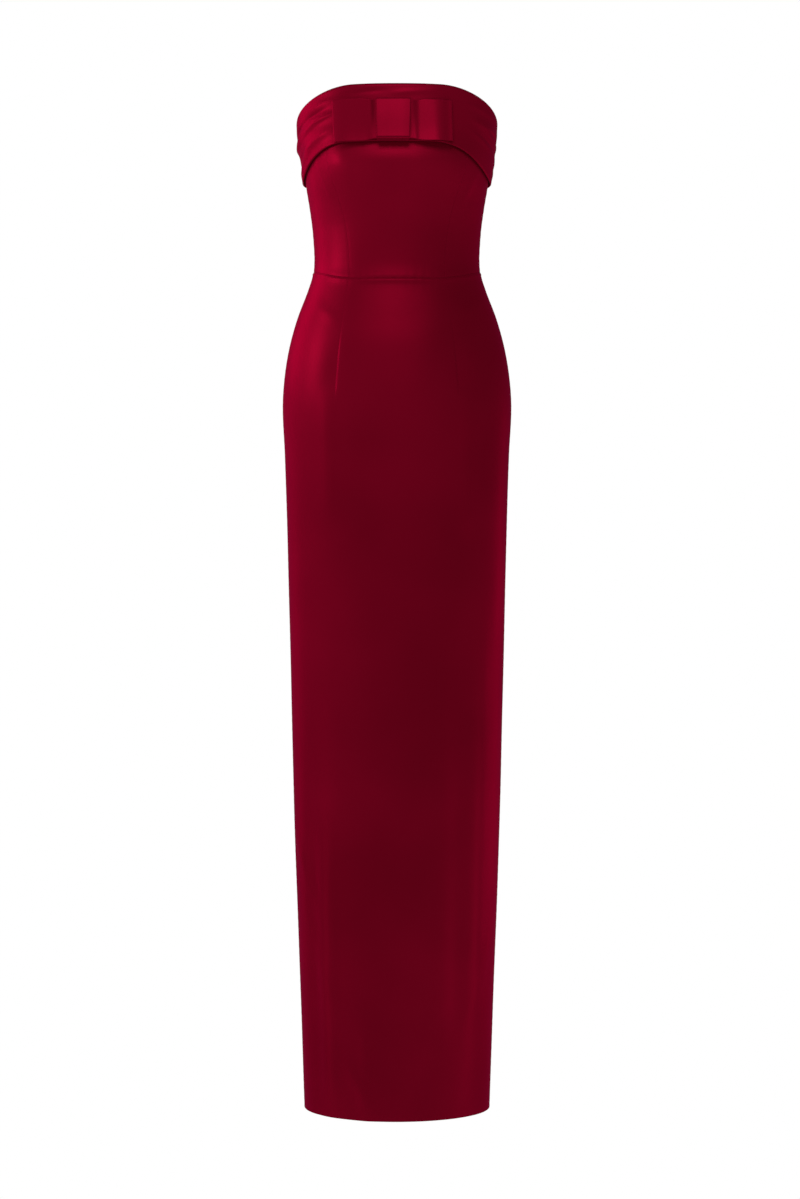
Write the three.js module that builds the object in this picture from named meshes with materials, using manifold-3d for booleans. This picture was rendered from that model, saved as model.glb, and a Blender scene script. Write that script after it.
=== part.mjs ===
// A strapless satin maxi dress, hollow and filled out as if worn: a fitted bodice cut in panels, a fold-over
// cuff with a flat bow at the neckline, and a narrow floor-length skirt with darts and a slit at the back.
// Millimetres, +Z up. The front faces -Y, and +X is the wearer's left. The origin is the middle of the
// hollow at the bust line, where the wearer's bust and ribs hold the dress up.
import * as THREE from "three";
import { mergeVertices } from "three/addons/utils/BufferGeometryUtils.js";
import Module from "manifold-3d";

const wasm = await Module();
wasm.setup();

// Driving heights, measured from the bust line, and the angles from the centre front between which the
// neckline, the cuff's lower edge and the waist seam change height
const NECK_FRONT_Z = 83;
const NECK_SIDE_DROP = 35.5;
const NECK_DROP = { from: 28, to: 100 };
const CUFF_BOTTOM_Z = 7;
const CUFF_SIDE_DROP = 38;
const CUFF_DROP_LEFT = { from: 24, to: 82 };
const CUFF_DROP_RIGHT = { from: 34, to: 90 };
const WAIST_FRONT_Z = -167;
const WAIST_SIDE_RISE = 18.5;
const WAIST_RISE = { from: 28, to: 95 };
const HEM_Z = -1274;

// Cloth thicknesses and gaps
const BODICE_WALL = 2;
const SKIRT_WALL = 1.6;
const CUFF_WALL = 2.6;
const BOW_WALL = 1.2;
const SEAM_GAP = 0.3;
const SLOPE_STEP = 0.5;

// Seams and darts, as angles in degrees from the centre front, and how far each dart is pinched in
const PRINCESS_WAIST_ANGLE = 39.4;
const PRINCESS_NECK_ANGLE = 50.5;
const FRONT_DART_TIP_ANGLE = 41;
const BACK_DART_ANGLE = 146;
const SIDE_SEAM_ANGLE = 90;
const BACK_SEAM_ANGLE = 180;
const FRONT_DART_TIP_Z = -323;
const BACK_DART_TIP_Z = -300;
const BACK_DART_BODICE_TIP_Z = -45;
const DART_DEPTH = 1.3;
const DART_HALF_ANGLE = 1.7;
const DART_FADE = 50;

// The slit in the back seam, which lets a narrow skirt of this length be walked in
const SLIT_TOP_Z = -800;
const SLIT_HALF_GAP_AT_HEM = 7;

// The shell: horizontal sections of the cloth's outer face. round is the exponent of each half's
// superellipse, where 2 is an ellipse and more is squarer.
const SECTIONS = [
  { z: 110, half: 133.5, front: 113, back: 87, roundFront: 2.35, roundBack: 2.2 },
  { z: 50, half: 131.8, front: 112.5, back: 88, roundFront: 2.35, roundBack: 2.2 },
  { z: 0, half: 127.5, front: 109, back: 90, roundFront: 2.35, roundBack: 2.2 },
  { z: -35, half: 122.6, front: 104, back: 90, roundFront: 2.3, roundBack: 2.2 },
  { z: -65, half: 117.6, front: 95.5, back: 88.5, roundFront: 2.25, roundBack: 2.2 },
  { z: -100, half: 113.2, front: 88, back: 86, roundFront: 2.2, roundBack: 2.2 },
  { z: -145, half: 111.8, front: 86, back: 83, roundFront: 2.2, roundBack: 2.2 },
  { z: -172, half: 119, front: 89, back: 88, roundFront: 2.2, roundBack: 2.2 },
  { z: -213, half: 134.3, front: 96, back: 101, roundFront: 2.2, roundBack: 2.15 },
  { z: -253, half: 145.3, front: 102.5, back: 114, roundFront: 2.15, roundBack: 2.15 },
  { z: -294, half: 151.9, front: 106, back: 124, roundFront: 2.15, roundBack: 2.1 },
  { z: -334, half: 154.2, front: 107.5, back: 129, roundFront: 2.15, roundBack: 2.1 },
  { z: -395, half: 151.3, front: 107.5, back: 130, roundFront: 2.15, roundBack: 2.1 },
  { z: -537, half: 146.7, front: 106.5, back: 126, roundFront: 2.1, roundBack: 2.1 },
  { z: -861, half: 139, front: 104.5, back: 121, roundFront: 2.05, roundBack: 2.05 },
  { z: -1274, half: 124.7, front: 101, back: 116, roundFront: 2, roundBack: 2 },
];

// The fullness of the bust: the cloth is stretched flat from cup to cup, and swells out below the cuff
const BUST = { cupAngle: 34, z: -20, rise: 9, beside: 15, above: 28, below: 34 };

// The skirt's soft folds: each is a low ridge, or a trough where rise is negative
const FOLDS = [
  { angle: -50, top: -840, bottom: -1300, rise: 3.2, spread: 7 },
  { angle: -62, top: -760, bottom: -1300, rise: -2.2, spread: 6 },
  { angle: 57, top: -520, bottom: -1180, rise: 2.6, spread: 8 },
  { angle: 43, top: -560, bottom: -1240, rise: -1.8, spread: 8 },
  { angle: -22, top: -1120, bottom: -1300, rise: 2, spread: 7 },
  { angle: 47, top: -300, bottom: -520, rise: 2.4, spread: 6 },
  { angle: -46, top: -300, bottom: -500, rise: 2, spread: 6 },
  { angle: 128, top: -520, bottom: -1300, rise: 3, spread: 8 },
  { angle: 153, top: -640, bottom: -1300, rise: -3, spread: 9 },
  { angle: -132, top: -480, bottom: -1300, rise: 3.2, spread: 8 },
  { angle: -156, top: -700, bottom: -1300, rise: -2.6, spread: 9 },
];

// Lengthwise pleats in the cuff towards each side: share is the height from the cuff's lower edge to its top
const CUFF_PLEATS = [
  { shareFront: 0.58, shareSide: 0.77, rise: 1.7, spread: 0.07 },
  { shareFront: 0.5, shareSide: 0.58, rise: 1.5, spread: 0.065 },
  { shareFront: 0.34, shareSide: 0.37, rise: 1.2, spread: 0.065 },
];
const PLEAT_STARTS_AT = 42;
const PLEAT_FULL_AT = 62;
const CUFF_GAP_AT_TOP = 1.2;
const CUFF_GAP_AT_SIDE = 1.5;
const CUFF_GAP_AT_FRONT = 3.2;
const CUFF_GAP_CLOSES = { from: 30, to: 80 };
const CUFF_GAP_EVEN_FROM = 0.9;
const CUFF_ROLL = 4;
const CUFF_ROLL_TURNS = [30, 60, 90, 120, 150];
const CUFF_INNER_SHARES = [0.66, 0.33, 0];

// The bow: a flat band in two loops, pinched by a knot
const BOW_X = -4.6;
const BOW_LEFT_REACH = 76.5;
const BOW_RIGHT_REACH = 78;
const BOW_TOP_Z = 61.5;
const BOW_PINCH = 2.4;
const BOW_PINCH_REACH = 42;
const BOW_LIFT = 0.4;
const LOOP_HOLLOW = 3.4;
const LOOP_RISE = 12;
const LOOP_FULL_AT = 0.75;
const KNOT_CLEAR = 1;
const KNOT_HALF_WIDTH = 22.8;
const KNOT_TAPER = 1.6;
const KNOT_TOP_Z = 62.6;
const KNOT_BOTTOM_Z = 7.4;
const KNOT_CROWN = 1.2;
const KNOT_CORNER = 0.8;
const BOW_WALK_STEPS = 6;

// The zip in the back seam, its slider and its pull tab
const ZIP_BOTTOM_Z = -335;
const ZIP_HALF_WIDTH = 12;
const ZIP_TAPE = 1;
const ZIP_TAPE_GAP = 0.6;
const ZIP_BELOW_EDGE = 1;
const SLIDER = { bottomHalf: 3.7, topHalf: 3, height: 10, depth: 1.6, corner: 1.6, belowTop: 3.5 };
const EAR = { thick: 0.9, height: 2.6, aboveMiddle: 1.5 };
const PULL = { half: 1.7, endRadius: 2.8, holeRadius: 1.3, length: 24, thick: 1.2, knuckle: 1.25 };
const PIN_RADIUS = 0.5;
const PIN_CLEARANCE = 0.3;

// How finely the cloth is divided
const SKIRT_ROWS = 24;
const SKIRT_ROW_POWER = 1.4;
const BODICE_ROWS = 9;
const CUFF_ROWS = 13;
const LOOP_STEPS = 10;
const KNOT_STEPS = 3;
const LOOP_TURN_STEPS = 5;
const BOW_ROWS = 4;
const KNOT_COLUMNS = 4;
const ZIP_ROWS = 16;
const ZIP_COLUMNS = 4;
const PIN_SIDES = 20;

const SATIN = { color: 0x7d0524, roughness: 0.42, metalness: 0.1 };
const ZIP_METAL = { color: 0x5c0a1c, roughness: 0.35, metalness: 0.6 };
const ZIP_CLOTH = { color: 0x5a0519, roughness: 0.75, metalness: 0 };

const toRadians = THREE.MathUtils.degToRad;
const toDegrees = THREE.MathUtils.radToDeg;
const { lerp, smoothstep } = THREE.MathUtils;

const bell = (x, spread) => Math.exp(-((x / spread) ** 2));

// A value of the section table at a height, on a cubic through its rows
function sectionValue(z, key) {
  const last = SECTIONS.length - 2;
  let i = SECTIONS.findIndex((row, n) => n <= last && z >= SECTIONS[n + 1].z);
  if (i < 0) i = last;
  const at = (n) => SECTIONS[THREE.MathUtils.clamp(n, 0, SECTIONS.length - 1)];
  const slope = (n) => {
    const [a, b] = [at(n - 1), at(n + 1)];
    return (b[key] - a[key]) / (b.z - a.z);
  };
  const [from, to] = [at(i), at(i + 1)];
  const span = to.z - from.z;
  const t = (z - from.z) / span;
  return (
    from[key] * (1 + 2 * t) * (1 - t) ** 2 +
    to[key] * t * t * (3 - 2 * t) +
    slope(i) * span * t * (1 - t) ** 2 +
    slope(i + 1) * span * t * t * (t - 1)
  );
}

function sectionRadius(angle, z) {
  const a = toRadians(angle);
  const towardsBack = Math.cos(a) < 0;
  const round = sectionValue(z, towardsBack ? "roundBack" : "roundFront");
  const depth = sectionValue(z, towardsBack ? "back" : "front");
  const across = Math.abs(Math.sin(a)) / sectionValue(z, "half");
  const along = Math.abs(Math.cos(a)) / depth;
  return (across ** round + along ** round) ** (-1 / round);
}

function bustRise(angle, z) {
  const beside = Math.max(Math.abs(angle) - BUST.cupAngle, 0);
  const along = z > BUST.z ? BUST.above : BUST.below;
  return BUST.rise * bell(beside, BUST.beside) * bell(z - BUST.z, along);
}

function foldRise(angle, z) {
  let rise = 0;
  for (const fold of FOLDS) {
    const length = fold.top - fold.bottom;
    const along = smoothstep(fold.top - z, 0, length / 3) * smoothstep(z - fold.bottom, 0, length / 5);
    rise += fold.rise * along * bell(angle - fold.angle, fold.spread);
  }
  return rise;
}

// The front darts carry the princess seams on below the waist, and lean towards the sides as they go down
function frontDartAngle(z) {
  const share = smoothstep(-z, -WAIST_FRONT_Z, -FRONT_DART_TIP_Z);
  return lerp(PRINCESS_WAIST_ANGLE, FRONT_DART_TIP_ANGLE, share);
}

// How far the darts draw the cloth in: the front ones are in the skirt alone, the back ones cross the waist
function dartRise(angle, z) {
  const fromFront = Math.abs(angle);
  const inSkirt = z <= WAIST_FRONT_Z ? 1 : 0;
  const front = inSkirt * smoothstep(z, FRONT_DART_TIP_Z, FRONT_DART_TIP_Z + DART_FADE);
  const backBelow = smoothstep(z, BACK_DART_TIP_Z, BACK_DART_TIP_Z + DART_FADE);
  const backAbove = smoothstep(BACK_DART_BODICE_TIP_Z - z, 0, DART_FADE);
  const atFront = bell(fromFront - frontDartAngle(z), DART_HALF_ANGLE / 2);
  const atBack = bell(fromFront - BACK_DART_ANGLE, DART_HALF_ANGLE / 2);
  return -DART_DEPTH * (front * atFront + backBelow * backAbove * atBack);
}

function pointAt(angle, radius, z) {
  return new THREE.Vector3(radius * Math.sin(toRadians(angle)), -radius * Math.cos(toRadians(angle)), z);
}

// A point of the cloth's outer face, moved out by a distance at right angles to its horizontal section
function shellPoint(angle, z, out = 0) {
  const beside = (step) => pointAt(angle + step, sectionRadius(angle + step, z), z);
  const along = beside(SLOPE_STEP).sub(beside(-SLOPE_STEP)).normalize();
  const outward = new THREE.Vector3(along.y, -along.x, 0);
  const rise = bustRise(angle, z) + foldRise(angle, z) + dartRise(angle, z);
  return pointAt(angle, sectionRadius(angle, z) + rise, z).add(outward.multiplyScalar(out));
}

// Heights of the edges and seams, by angle from the centre front
const towardsSide = (angle, { from, to }) => smoothstep(Math.abs(angle), from, to);
const neckZ = (angle) => NECK_FRONT_Z - NECK_SIDE_DROP * towardsSide(angle, NECK_DROP);
const cuffBottomZ = (angle) => {
  const drop = angle > 0 ? CUFF_DROP_LEFT : CUFF_DROP_RIGHT;
  return CUFF_BOTTOM_Z - CUFF_SIDE_DROP * towardsSide(angle, drop);
};
const waistZ = (angle) => WAIST_FRONT_Z + WAIST_SIDE_RISE * towardsSide(angle, WAIST_RISE);
const bodiceTopZ = (angle) => neckZ(angle) - CUFF_ROLL - SEAM_GAP;

// The columns of points round one half of the body. Seams and darts have a column of their own.
function columnStops(seamAngle, backEdge) {
  const d = DART_HALF_ANGLE;
  return [
    { to: seamAngle - d, steps: 6 },
    { to: seamAngle, steps: 1 },
    { to: seamAngle + d, steps: 1 },
    { to: SIDE_SEAM_ANGLE, steps: 5 },
    { to: BACK_DART_ANGLE - d, steps: 6 },
    { to: BACK_DART_ANGLE, steps: 1 },
    { to: BACK_DART_ANGLE + d, steps: 1 },
    { to: backEdge, steps: 4 },
  ];
}
const PRINCESS_COLUMN = 7;
const SIDE_COLUMN = 13;
const BACK_COLUMN = 25;

function columnAngle(column, seamAngle, backEdge) {
  let left = Math.abs(column);
  let from = 0;
  for (const stop of columnStops(seamAngle, backEdge)) {
    if (left <= stop.steps) return Math.sign(column) * lerp(from, stop.to, left / stop.steps);
    left -= stop.steps;
    from = stop.to;
  }
  return Math.sign(column) * backEdge;
}

// A closed wall from two grids of points: outer and inner are functions of a row and a column
function wallGeometry(rows, columns, outer, inner) {
  const positions = [];
  const index = [];
  const across = columns + 1;
  const count = (rows + 1) * across;
  for (const face of [outer, inner]) {
    for (let i = 0; i <= rows; i++) {
      for (let j = 0; j <= columns; j++) positions.push(...face(i, j).toArray());
    }
  }
  const quad = (a, b, c, d) => index.push(a, b, c, a, c, d);
  const at = (i, j, side) => side * count + i * across + j;
  for (let i = 0; i < rows; i++) {
    for (let j = 0; j < columns; j++) {
      quad(at(i, j, 0), at(i, j + 1, 0), at(i + 1, j + 1, 0), at(i + 1, j, 0));
      quad(at(i, j, 1), at(i + 1, j, 1), at(i + 1, j + 1, 1), at(i, j + 1, 1));
    }
  }
  for (let j = 0; j < columns; j++) {
    quad(at(0, j, 0), at(0, j, 1), at(0, j + 1, 1), at(0, j + 1, 0));
    quad(at(rows, j, 0), at(rows, j + 1, 0), at(rows, j + 1, 1), at(rows, j, 1));
  }
  for (let i = 0; i < rows; i++) {
    quad(at(i, 0, 0), at(i + 1, 0, 0), at(i + 1, 0, 1), at(i, 0, 1));
    quad(at(i, columns, 0), at(i, columns, 1), at(i + 1, columns, 1), at(i + 1, columns, 0));
  }
  return facingOut(positions, index);
}

// A closed ring of section points swept through stations, with both ends capped
function sweptGeometry(stations, ringPoints) {
  const positions = [];
  const index = [];
  const size = ringPoints(0).length;
  for (let i = 0; i <= stations; i++) {
    for (const point of ringPoints(i)) positions.push(...point.toArray());
  }
  for (let i = 0; i < stations; i++) {
    for (let j = 0; j < size; j++) {
      const next = (j + 1) % size;
      const [a, b, c, d] = [i * size + j, i * size + next, (i + 1) * size + next, (i + 1) * size + j];
      index.push(a, b, c, a, c, d);
    }
  }
  return { positions, index, size };
}

function facingOut(positions, index) {
  let volume = 0;
  const [a, b, c] = [new THREE.Vector3(), new THREE.Vector3(), new THREE.Vector3()];
  for (let i = 0; i < index.length; i += 3) {
    [a, b, c].forEach((v, n) => v.fromArray(positions, index[i + n] * 3));
    volume += a.dot(b.cross(c));
  }
  const turned = volume < 0 ? [...index].reverse() : index;
  const geometry = new THREE.BufferGeometry();
  geometry.setAttribute("position", new THREE.Float32BufferAttribute(positions, 3));
  geometry.setIndex(turned);
  geometry.computeVertexNormals();
  return geometry;
}

// Joining and cutting
function toSolid(geometry) {
  const bare = geometry.clone();
  bare.deleteAttribute("normal");
  bare.deleteAttribute("uv");
  const merged = mergeVertices(bare, 1e-3);
  return new wasm.Manifold(
    new wasm.Mesh({
      numProp: 3,
      vertProperties: Float32Array.from(merged.attributes.position.array),
      triVerts: Uint32Array.from(merged.index.array),
    }),
  );
}

function toGeometry(solid) {
  const mesh = solid.getMesh();
  const geometry = new THREE.BufferGeometry();
  geometry.setAttribute("position", new THREE.BufferAttribute(mesh.vertProperties, 3));
  geometry.setIndex(new THREE.BufferAttribute(mesh.triVerts, 1));
  geometry.computeVertexNormals();
  return geometry;
}

const dress = new THREE.Group();

function addPiece(name, geometry, look) {
  const mesh = new THREE.Mesh(geometry, new THREE.MeshStandardMaterial(look));
  mesh.name = name;
  dress.add(mesh);
}

// A panel of cloth between two columns: edges that meet a seam stand back from it by half the seam gap
function panelGeometry({ rows, from, to, angleAt, zAt, wall }) {
  const columns = to - from;
  const place = (i, j, out) => {
    let angle = angleAt(i, from + j);
    const z = zAt(i, angle);
    const halfGap = toDegrees(SEAM_GAP / 2 / sectionRadius(angle, z));
    if (j === 0) angle += halfGap;
    if (j === columns) angle -= halfGap;
    return shellPoint(angle, z, out);
  };
  return wallGeometry(
    rows,
    columns,
    (i, j) => place(i, j, 0),
    (i, j) => place(i, j, -wall),
  );
}

// Bodice: a centre front, two side fronts and two backs, from the waist seam up to the cuff
function bodicePanel(from, to) {
  return panelGeometry({
    rows: BODICE_ROWS,
    from,
    to,
    wall: BODICE_WALL,
    angleAt: (i, column) => {
      const seam = lerp(PRINCESS_WAIST_ANGLE, PRINCESS_NECK_ANGLE, i / BODICE_ROWS);
      return columnAngle(column, seam, BACK_SEAM_ANGLE);
    },
    zAt: (i, angle) => lerp(waistZ(angle) + SEAM_GAP / 2, bodiceTopZ(angle), i / BODICE_ROWS),
  });
}

// Skirt: one front with two darts, and two backs that part at the slit
function skirtPanel(from, to) {
  const share = (i) => (i / SKIRT_ROWS) ** SKIRT_ROW_POWER;
  const middleZ = (i) => lerp(WAIST_FRONT_Z, HEM_Z, share(i));
  return panelGeometry({
    rows: SKIRT_ROWS,
    from,
    to,
    wall: SKIRT_WALL,
    angleAt: (i, column) => {
      const z = middleZ(i);
      const open = Math.max((SLIT_TOP_Z - z) / (SLIT_TOP_Z - HEM_Z), 0) * SLIT_HALF_GAP_AT_HEM;
      const backEdge = BACK_SEAM_ANGLE - toDegrees(open / sectionRadius(BACK_SEAM_ANGLE, z));
      return columnAngle(column, frontDartAngle(z), backEdge);
    },
    zAt: (i, angle) => lerp(waistZ(angle) - SEAM_GAP / 2, HEM_Z, share(i)),
  });
}

// Cuff: how far it stands off the bodice at a share of its height, and its outer face
function cuffGap(angle, share) {
  const atBottom = lerp(CUFF_GAP_AT_FRONT, CUFF_GAP_AT_SIDE, towardsSide(angle, CUFF_GAP_CLOSES));
  return lerp(atBottom, CUFF_GAP_AT_TOP, smoothstep(share, 0, CUFF_GAP_EVEN_FROM));
}

function cuffPleatRise(angle, share) {
  const fade = towardsSide(angle, { from: PLEAT_STARTS_AT, to: PLEAT_FULL_AT });
  const along = towardsSide(angle, { from: PLEAT_STARTS_AT, to: SIDE_SEAM_ANGLE });
  let rise = 0;
  for (const pleat of CUFF_PLEATS) {
    const middle = lerp(pleat.shareFront, pleat.shareSide, along);
    rise += pleat.rise * fade * bell(share - middle, pleat.spread);
  }
  return rise;
}

function cuffOuterPoint(angle, z, out = 0) {
  const share = (z - cuffBottomZ(angle)) / (neckZ(angle) - cuffBottomZ(angle));
  const lift = cuffGap(angle, share) + CUFF_WALL + cuffPleatRise(angle, share);
  return shellPoint(angle, z, lift + out);
}

// The cuff's section at an angle: up the outer face, over the rolled top edge, and down the inner face
function cuffRing(angle) {
  const [bottom, top] = [cuffBottomZ(angle), neckZ(angle)];
  const leafTop = top - CUFF_ROLL;
  const points = [];
  for (let i = 0; i <= CUFF_ROWS; i++) {
    points.push(cuffOuterPoint(angle, lerp(bottom, leafTop, i / CUFF_ROWS)));
  }
  const outerEnd = cuffGap(angle, 1) + CUFF_WALL;
  const middle = (outerEnd - BODICE_WALL) / 2;
  const half = (outerEnd + BODICE_WALL) / 2;
  for (const turn of CUFF_ROLL_TURNS) {
    const [across, up] = [Math.cos(toRadians(turn)) * half, Math.sin(toRadians(turn)) * CUFF_ROLL];
    points.push(shellPoint(angle, leafTop + up, middle + across));
  }
  points.push(shellPoint(angle, leafTop, -BODICE_WALL));
  points.push(shellPoint(angle, leafTop, cuffGap(angle, 1)));
  for (const share of CUFF_INNER_SHARES) {
    points.push(shellPoint(angle, lerp(bottom, leafTop, share), cuffGap(angle, share)));
  }
  return points;
}

function cuffGeometry(from, to) {
  const columns = to - from;
  const { positions, index, size } = sweptGeometry(columns, (j) => {
    let angle = columnAngle(from + j, PRINCESS_NECK_ANGLE, BACK_SEAM_ANGLE);
    const halfGap = toDegrees(SEAM_GAP / 2 / sectionRadius(angle, 0));
    if (j === 0) angle += halfGap;
    if (j === columns) angle -= halfGap;
    return cuffRing(angle);
  });
  for (const [start, order] of [[0, 1], [columns * size, -1]]) capCuffEnd(index, start, size, order);
  return facingOut(positions, index);
}

// An end of the cuff: a strip up the leaf between its two faces, and a fan over the roll
function capCuffEnd(index, start, size, order) {
  const add = (a, b, c) => {
    const corners = order > 0 ? [c, b, a] : [a, b, c];
    index.push(...corners.map((corner) => start + corner));
  };
  const steps = CUFF_INNER_SHARES.length;
  const innerBottom = size - 1;
  const innerTop = innerBottom - steps;
  const rollInside = innerTop - 1;
  let outer = 0;
  for (let inner = innerBottom; inner > innerTop; inner--) {
    const target = Math.round((CUFF_ROWS * (innerBottom - inner + 1)) / steps);
    for (; outer < target; outer++) add(outer, outer + 1, inner);
    add(outer, inner - 1, inner);
  }
  for (; outer < rollInside; outer++) add(outer, outer + 1, innerTop);
}

// Bow: the loops and the knot lie on the cuff's outer face, at a distance round it from the bow's middle
function bowPoint(side, reach, z, out) {
  let angle = toDegrees(Math.asin(-BOW_X / cuffOuterPoint(0, z).y));
  for (let i = 0; i < BOW_WALK_STEPS; i++) {
    const here = cuffOuterPoint(angle, z);
    angle += side * toDegrees(reach / BOW_WALK_STEPS / Math.hypot(here.x, here.y));
  }
  return cuffOuterPoint(angle, z, out);
}

// The band's middle line from under the knot, out along the back leaf, round the fold and back along
// the front leaf
function loopLine(reachEnd) {
  const knotEdge = KNOT_HALF_WIDTH + KNOT_CLEAR;
  const underKnot = BOW_LIFT + BOW_WALL * 1.5 + SEAM_GAP;
  const leafPitch = BOW_WALL + SEAM_GAP;
  const onCuff = BOW_LIFT + BOW_WALL / 2;
  const backOut = (reach) => lerp(underKnot, onCuff, smoothstep(reach, knotEdge, knotEdge + LOOP_RISE));
  const fullAt = reachEnd * LOOP_FULL_AT;
  const spread = (reach) => lerp(leafPitch, LOOP_HOLLOW, smoothstep(reach, knotEdge, fullAt));
  const turn = spread(reachEnd) / 2;
  const last = reachEnd - turn - BOW_WALL / 2;
  const reachAt = (i) => {
    if (i <= KNOT_STEPS) return lerp(SEAM_GAP / 2, knotEdge, i / KNOT_STEPS);
    return lerp(knotEdge, last, (i - KNOT_STEPS) / (LOOP_STEPS - KNOT_STEPS));
  };
  const line = [];
  for (let i = 0; i <= LOOP_STEPS; i++) line.push({ reach: reachAt(i), out: backOut(reachAt(i)) });
  for (let i = 1; i < LOOP_TURN_STEPS; i++) {
    const around = (Math.PI * i) / LOOP_TURN_STEPS;
    const out = backOut(last) + (1 - Math.cos(around)) * turn;
    line.push({ reach: last + Math.sin(around) * turn, out });
  }
  for (let i = LOOP_STEPS; i >= 0; i--) {
    line.push({ reach: reachAt(i), out: backOut(reachAt(i)) + spread(reachAt(i)) });
  }
  return line;
}

function loopGeometry(side, reachEnd) {
  const line = loopLine(reachEnd);
  const normalAt = (i) => {
    const [a, b] = [line[Math.max(i - 1, 0)], line[Math.min(i + 1, line.length - 1)]];
    const length = Math.hypot(b.reach - a.reach, b.out - a.out);
    return { reach: (b.out - a.out) / length, out: -(b.reach - a.reach) / length };
  };
  const place = (row, i, shift) => {
    const normal = normalAt(i);
    const atCentre = i === 0 || i === line.length - 1;
    const reach = atCentre ? line[i].reach : line[i].reach + normal.reach * shift;
    const out = line[i].out + normal.out * shift;
    const pinch = BOW_PINCH * (1 - smoothstep(reach, KNOT_HALF_WIDTH + KNOT_CLEAR, BOW_PINCH_REACH));
    const z = lerp(CUFF_BOTTOM_Z + pinch, BOW_TOP_Z - pinch, row / BOW_ROWS);
    return bowPoint(side, reach, z, out);
  };
  return wallGeometry(
    BOW_ROWS,
    line.length - 1,
    (i, j) => place(i, j, BOW_WALL / 2),
    (i, j) => place(i, j, -BOW_WALL / 2),
  );
}

// The knot: a short band round the middle of the bow, a little narrower at the bottom
function knotGeometry() {
  const innerDepth = BOW_WALL * 2 + SEAM_GAP * 3;
  const quarters = [0, 0.25, 0.5, 0.75, 1];
  const faces = (inset) => {
    const [low, high] = [KNOT_BOTTOM_Z + inset, KNOT_TOP_Z - inset];
    const [back, front] = [BOW_LIFT + inset, BOW_LIFT + innerDepth + 2 * BOW_WALL - inset];
    const height = (share) => lerp(low + KNOT_CORNER, high - KNOT_CORNER, share);
    const crown = (share) => KNOT_CROWN * Math.sin(Math.PI * share);
    const frontRow = quarters.map((share) => [height(share), front + crown(share)]);
    const backRow = quarters.map((share) => [height(1 - share), back]);
    const topCorner = [[high, front - KNOT_CORNER], [high, back + KNOT_CORNER]];
    const bottomCorner = [[low, back + KNOT_CORNER], [low, front - KNOT_CORNER]];
    return [...frontRow, ...topCorner, ...backRow, ...bottomCorner];
  };
  const outerFace = faces(0);
  const innerFace = faces(BOW_WALL);
  const rings = outerFace.length;
  const place = (face, i, j) => {
    const [z, out] = face[i % rings];
    const low = 1 - (z - KNOT_BOTTOM_Z) / (KNOT_TOP_Z - KNOT_BOTTOM_Z);
    const half = KNOT_HALF_WIDTH - KNOT_TAPER * low;
    const reach = lerp(-half, half, j / KNOT_COLUMNS);
    return bowPoint(1, reach, z, out);
  };
  const positions = [];
  const index = [];
  const across = KNOT_COLUMNS + 1;
  for (const face of [outerFace, innerFace]) {
    for (let i = 0; i < rings; i++) {
      for (let j = 0; j < across; j++) positions.push(...place(face, i, j).toArray());
    }
  }
  const at = (side, i, j) => side * rings * across + (i % rings) * across + j;
  const quad = (a, b, c, d) => index.push(a, b, c, a, c, d);
  for (let i = 0; i < rings; i++) {
    for (let j = 0; j < KNOT_COLUMNS; j++) {
      quad(at(0, i, j), at(0, i, j + 1), at(0, i + 1, j + 1), at(0, i + 1, j));
      quad(at(1, i, j), at(1, i + 1, j), at(1, i + 1, j + 1), at(1, i, j + 1));
    }
    quad(at(0, i, 0), at(0, i + 1, 0), at(1, i + 1, 0), at(1, i, 0));
    const end = KNOT_COLUMNS;
    quad(at(0, i, end), at(1, i, end), at(1, i + 1, end), at(0, i + 1, end));
  }
  return facingOut(positions, index);
}

// Zip: the closed tape inside the back seam
function zipTapeGeometry() {
  const top = bodiceTopZ(BACK_SEAM_ANGLE) - ZIP_BELOW_EDGE;
  const place = (i, j, depth) => {
    const z = lerp(ZIP_BOTTOM_Z, top, i / ZIP_ROWS);
    const spread = toDegrees(ZIP_HALF_WIDTH / sectionRadius(BACK_SEAM_ANGLE, z));
    const angle = BACK_SEAM_ANGLE + lerp(-spread, spread, j / ZIP_COLUMNS);
    return shellPoint(angle, z, -BODICE_WALL - ZIP_TAPE_GAP - depth);
  };
  return wallGeometry(
    ZIP_ROWS,
    ZIP_COLUMNS,
    (i, j) => place(i, j, 0),
    (i, j) => place(i, j, ZIP_TAPE),
  );
}

// The slider lies on the cuff at the top of the back seam, and the pull tab swings on its cross pin
const sliderMiddleZ = neckZ(BACK_SEAM_ANGLE) - SLIDER.belowTop - SLIDER.height / 2;
const sliderBackY = SEAM_GAP + Math.max(
  cuffOuterPoint(BACK_SEAM_ANGLE, sliderMiddleZ + SLIDER.height / 2).y,
  cuffOuterPoint(BACK_SEAM_ANGLE, sliderMiddleZ - SLIDER.height / 2).y,
);
const pinZ = sliderMiddleZ + EAR.aboveMiddle;
const pinY = sliderBackY + SLIDER.depth + PIN_CLEARANCE + PULL.knuckle;

// A round bar along X through the pin's place
function crossBar(radius, length) {
  const bar = new THREE.CylinderGeometry(radius, radius, length, PIN_SIDES);
  return toSolid(bar.rotateZ(Math.PI / 2).translate(0, pinY, pinZ));
}

// A plate with its outline across X and Z, standing out along Y from a depth
function upright(outline, thick, y, z) {
  const plate = new THREE.ExtrudeGeometry(outline, { depth: thick, bevelEnabled: false, curveSegments: 8 });
  return toSolid(plate.rotateX(Math.PI / 2).translate(0, y + thick, z));
}

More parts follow.
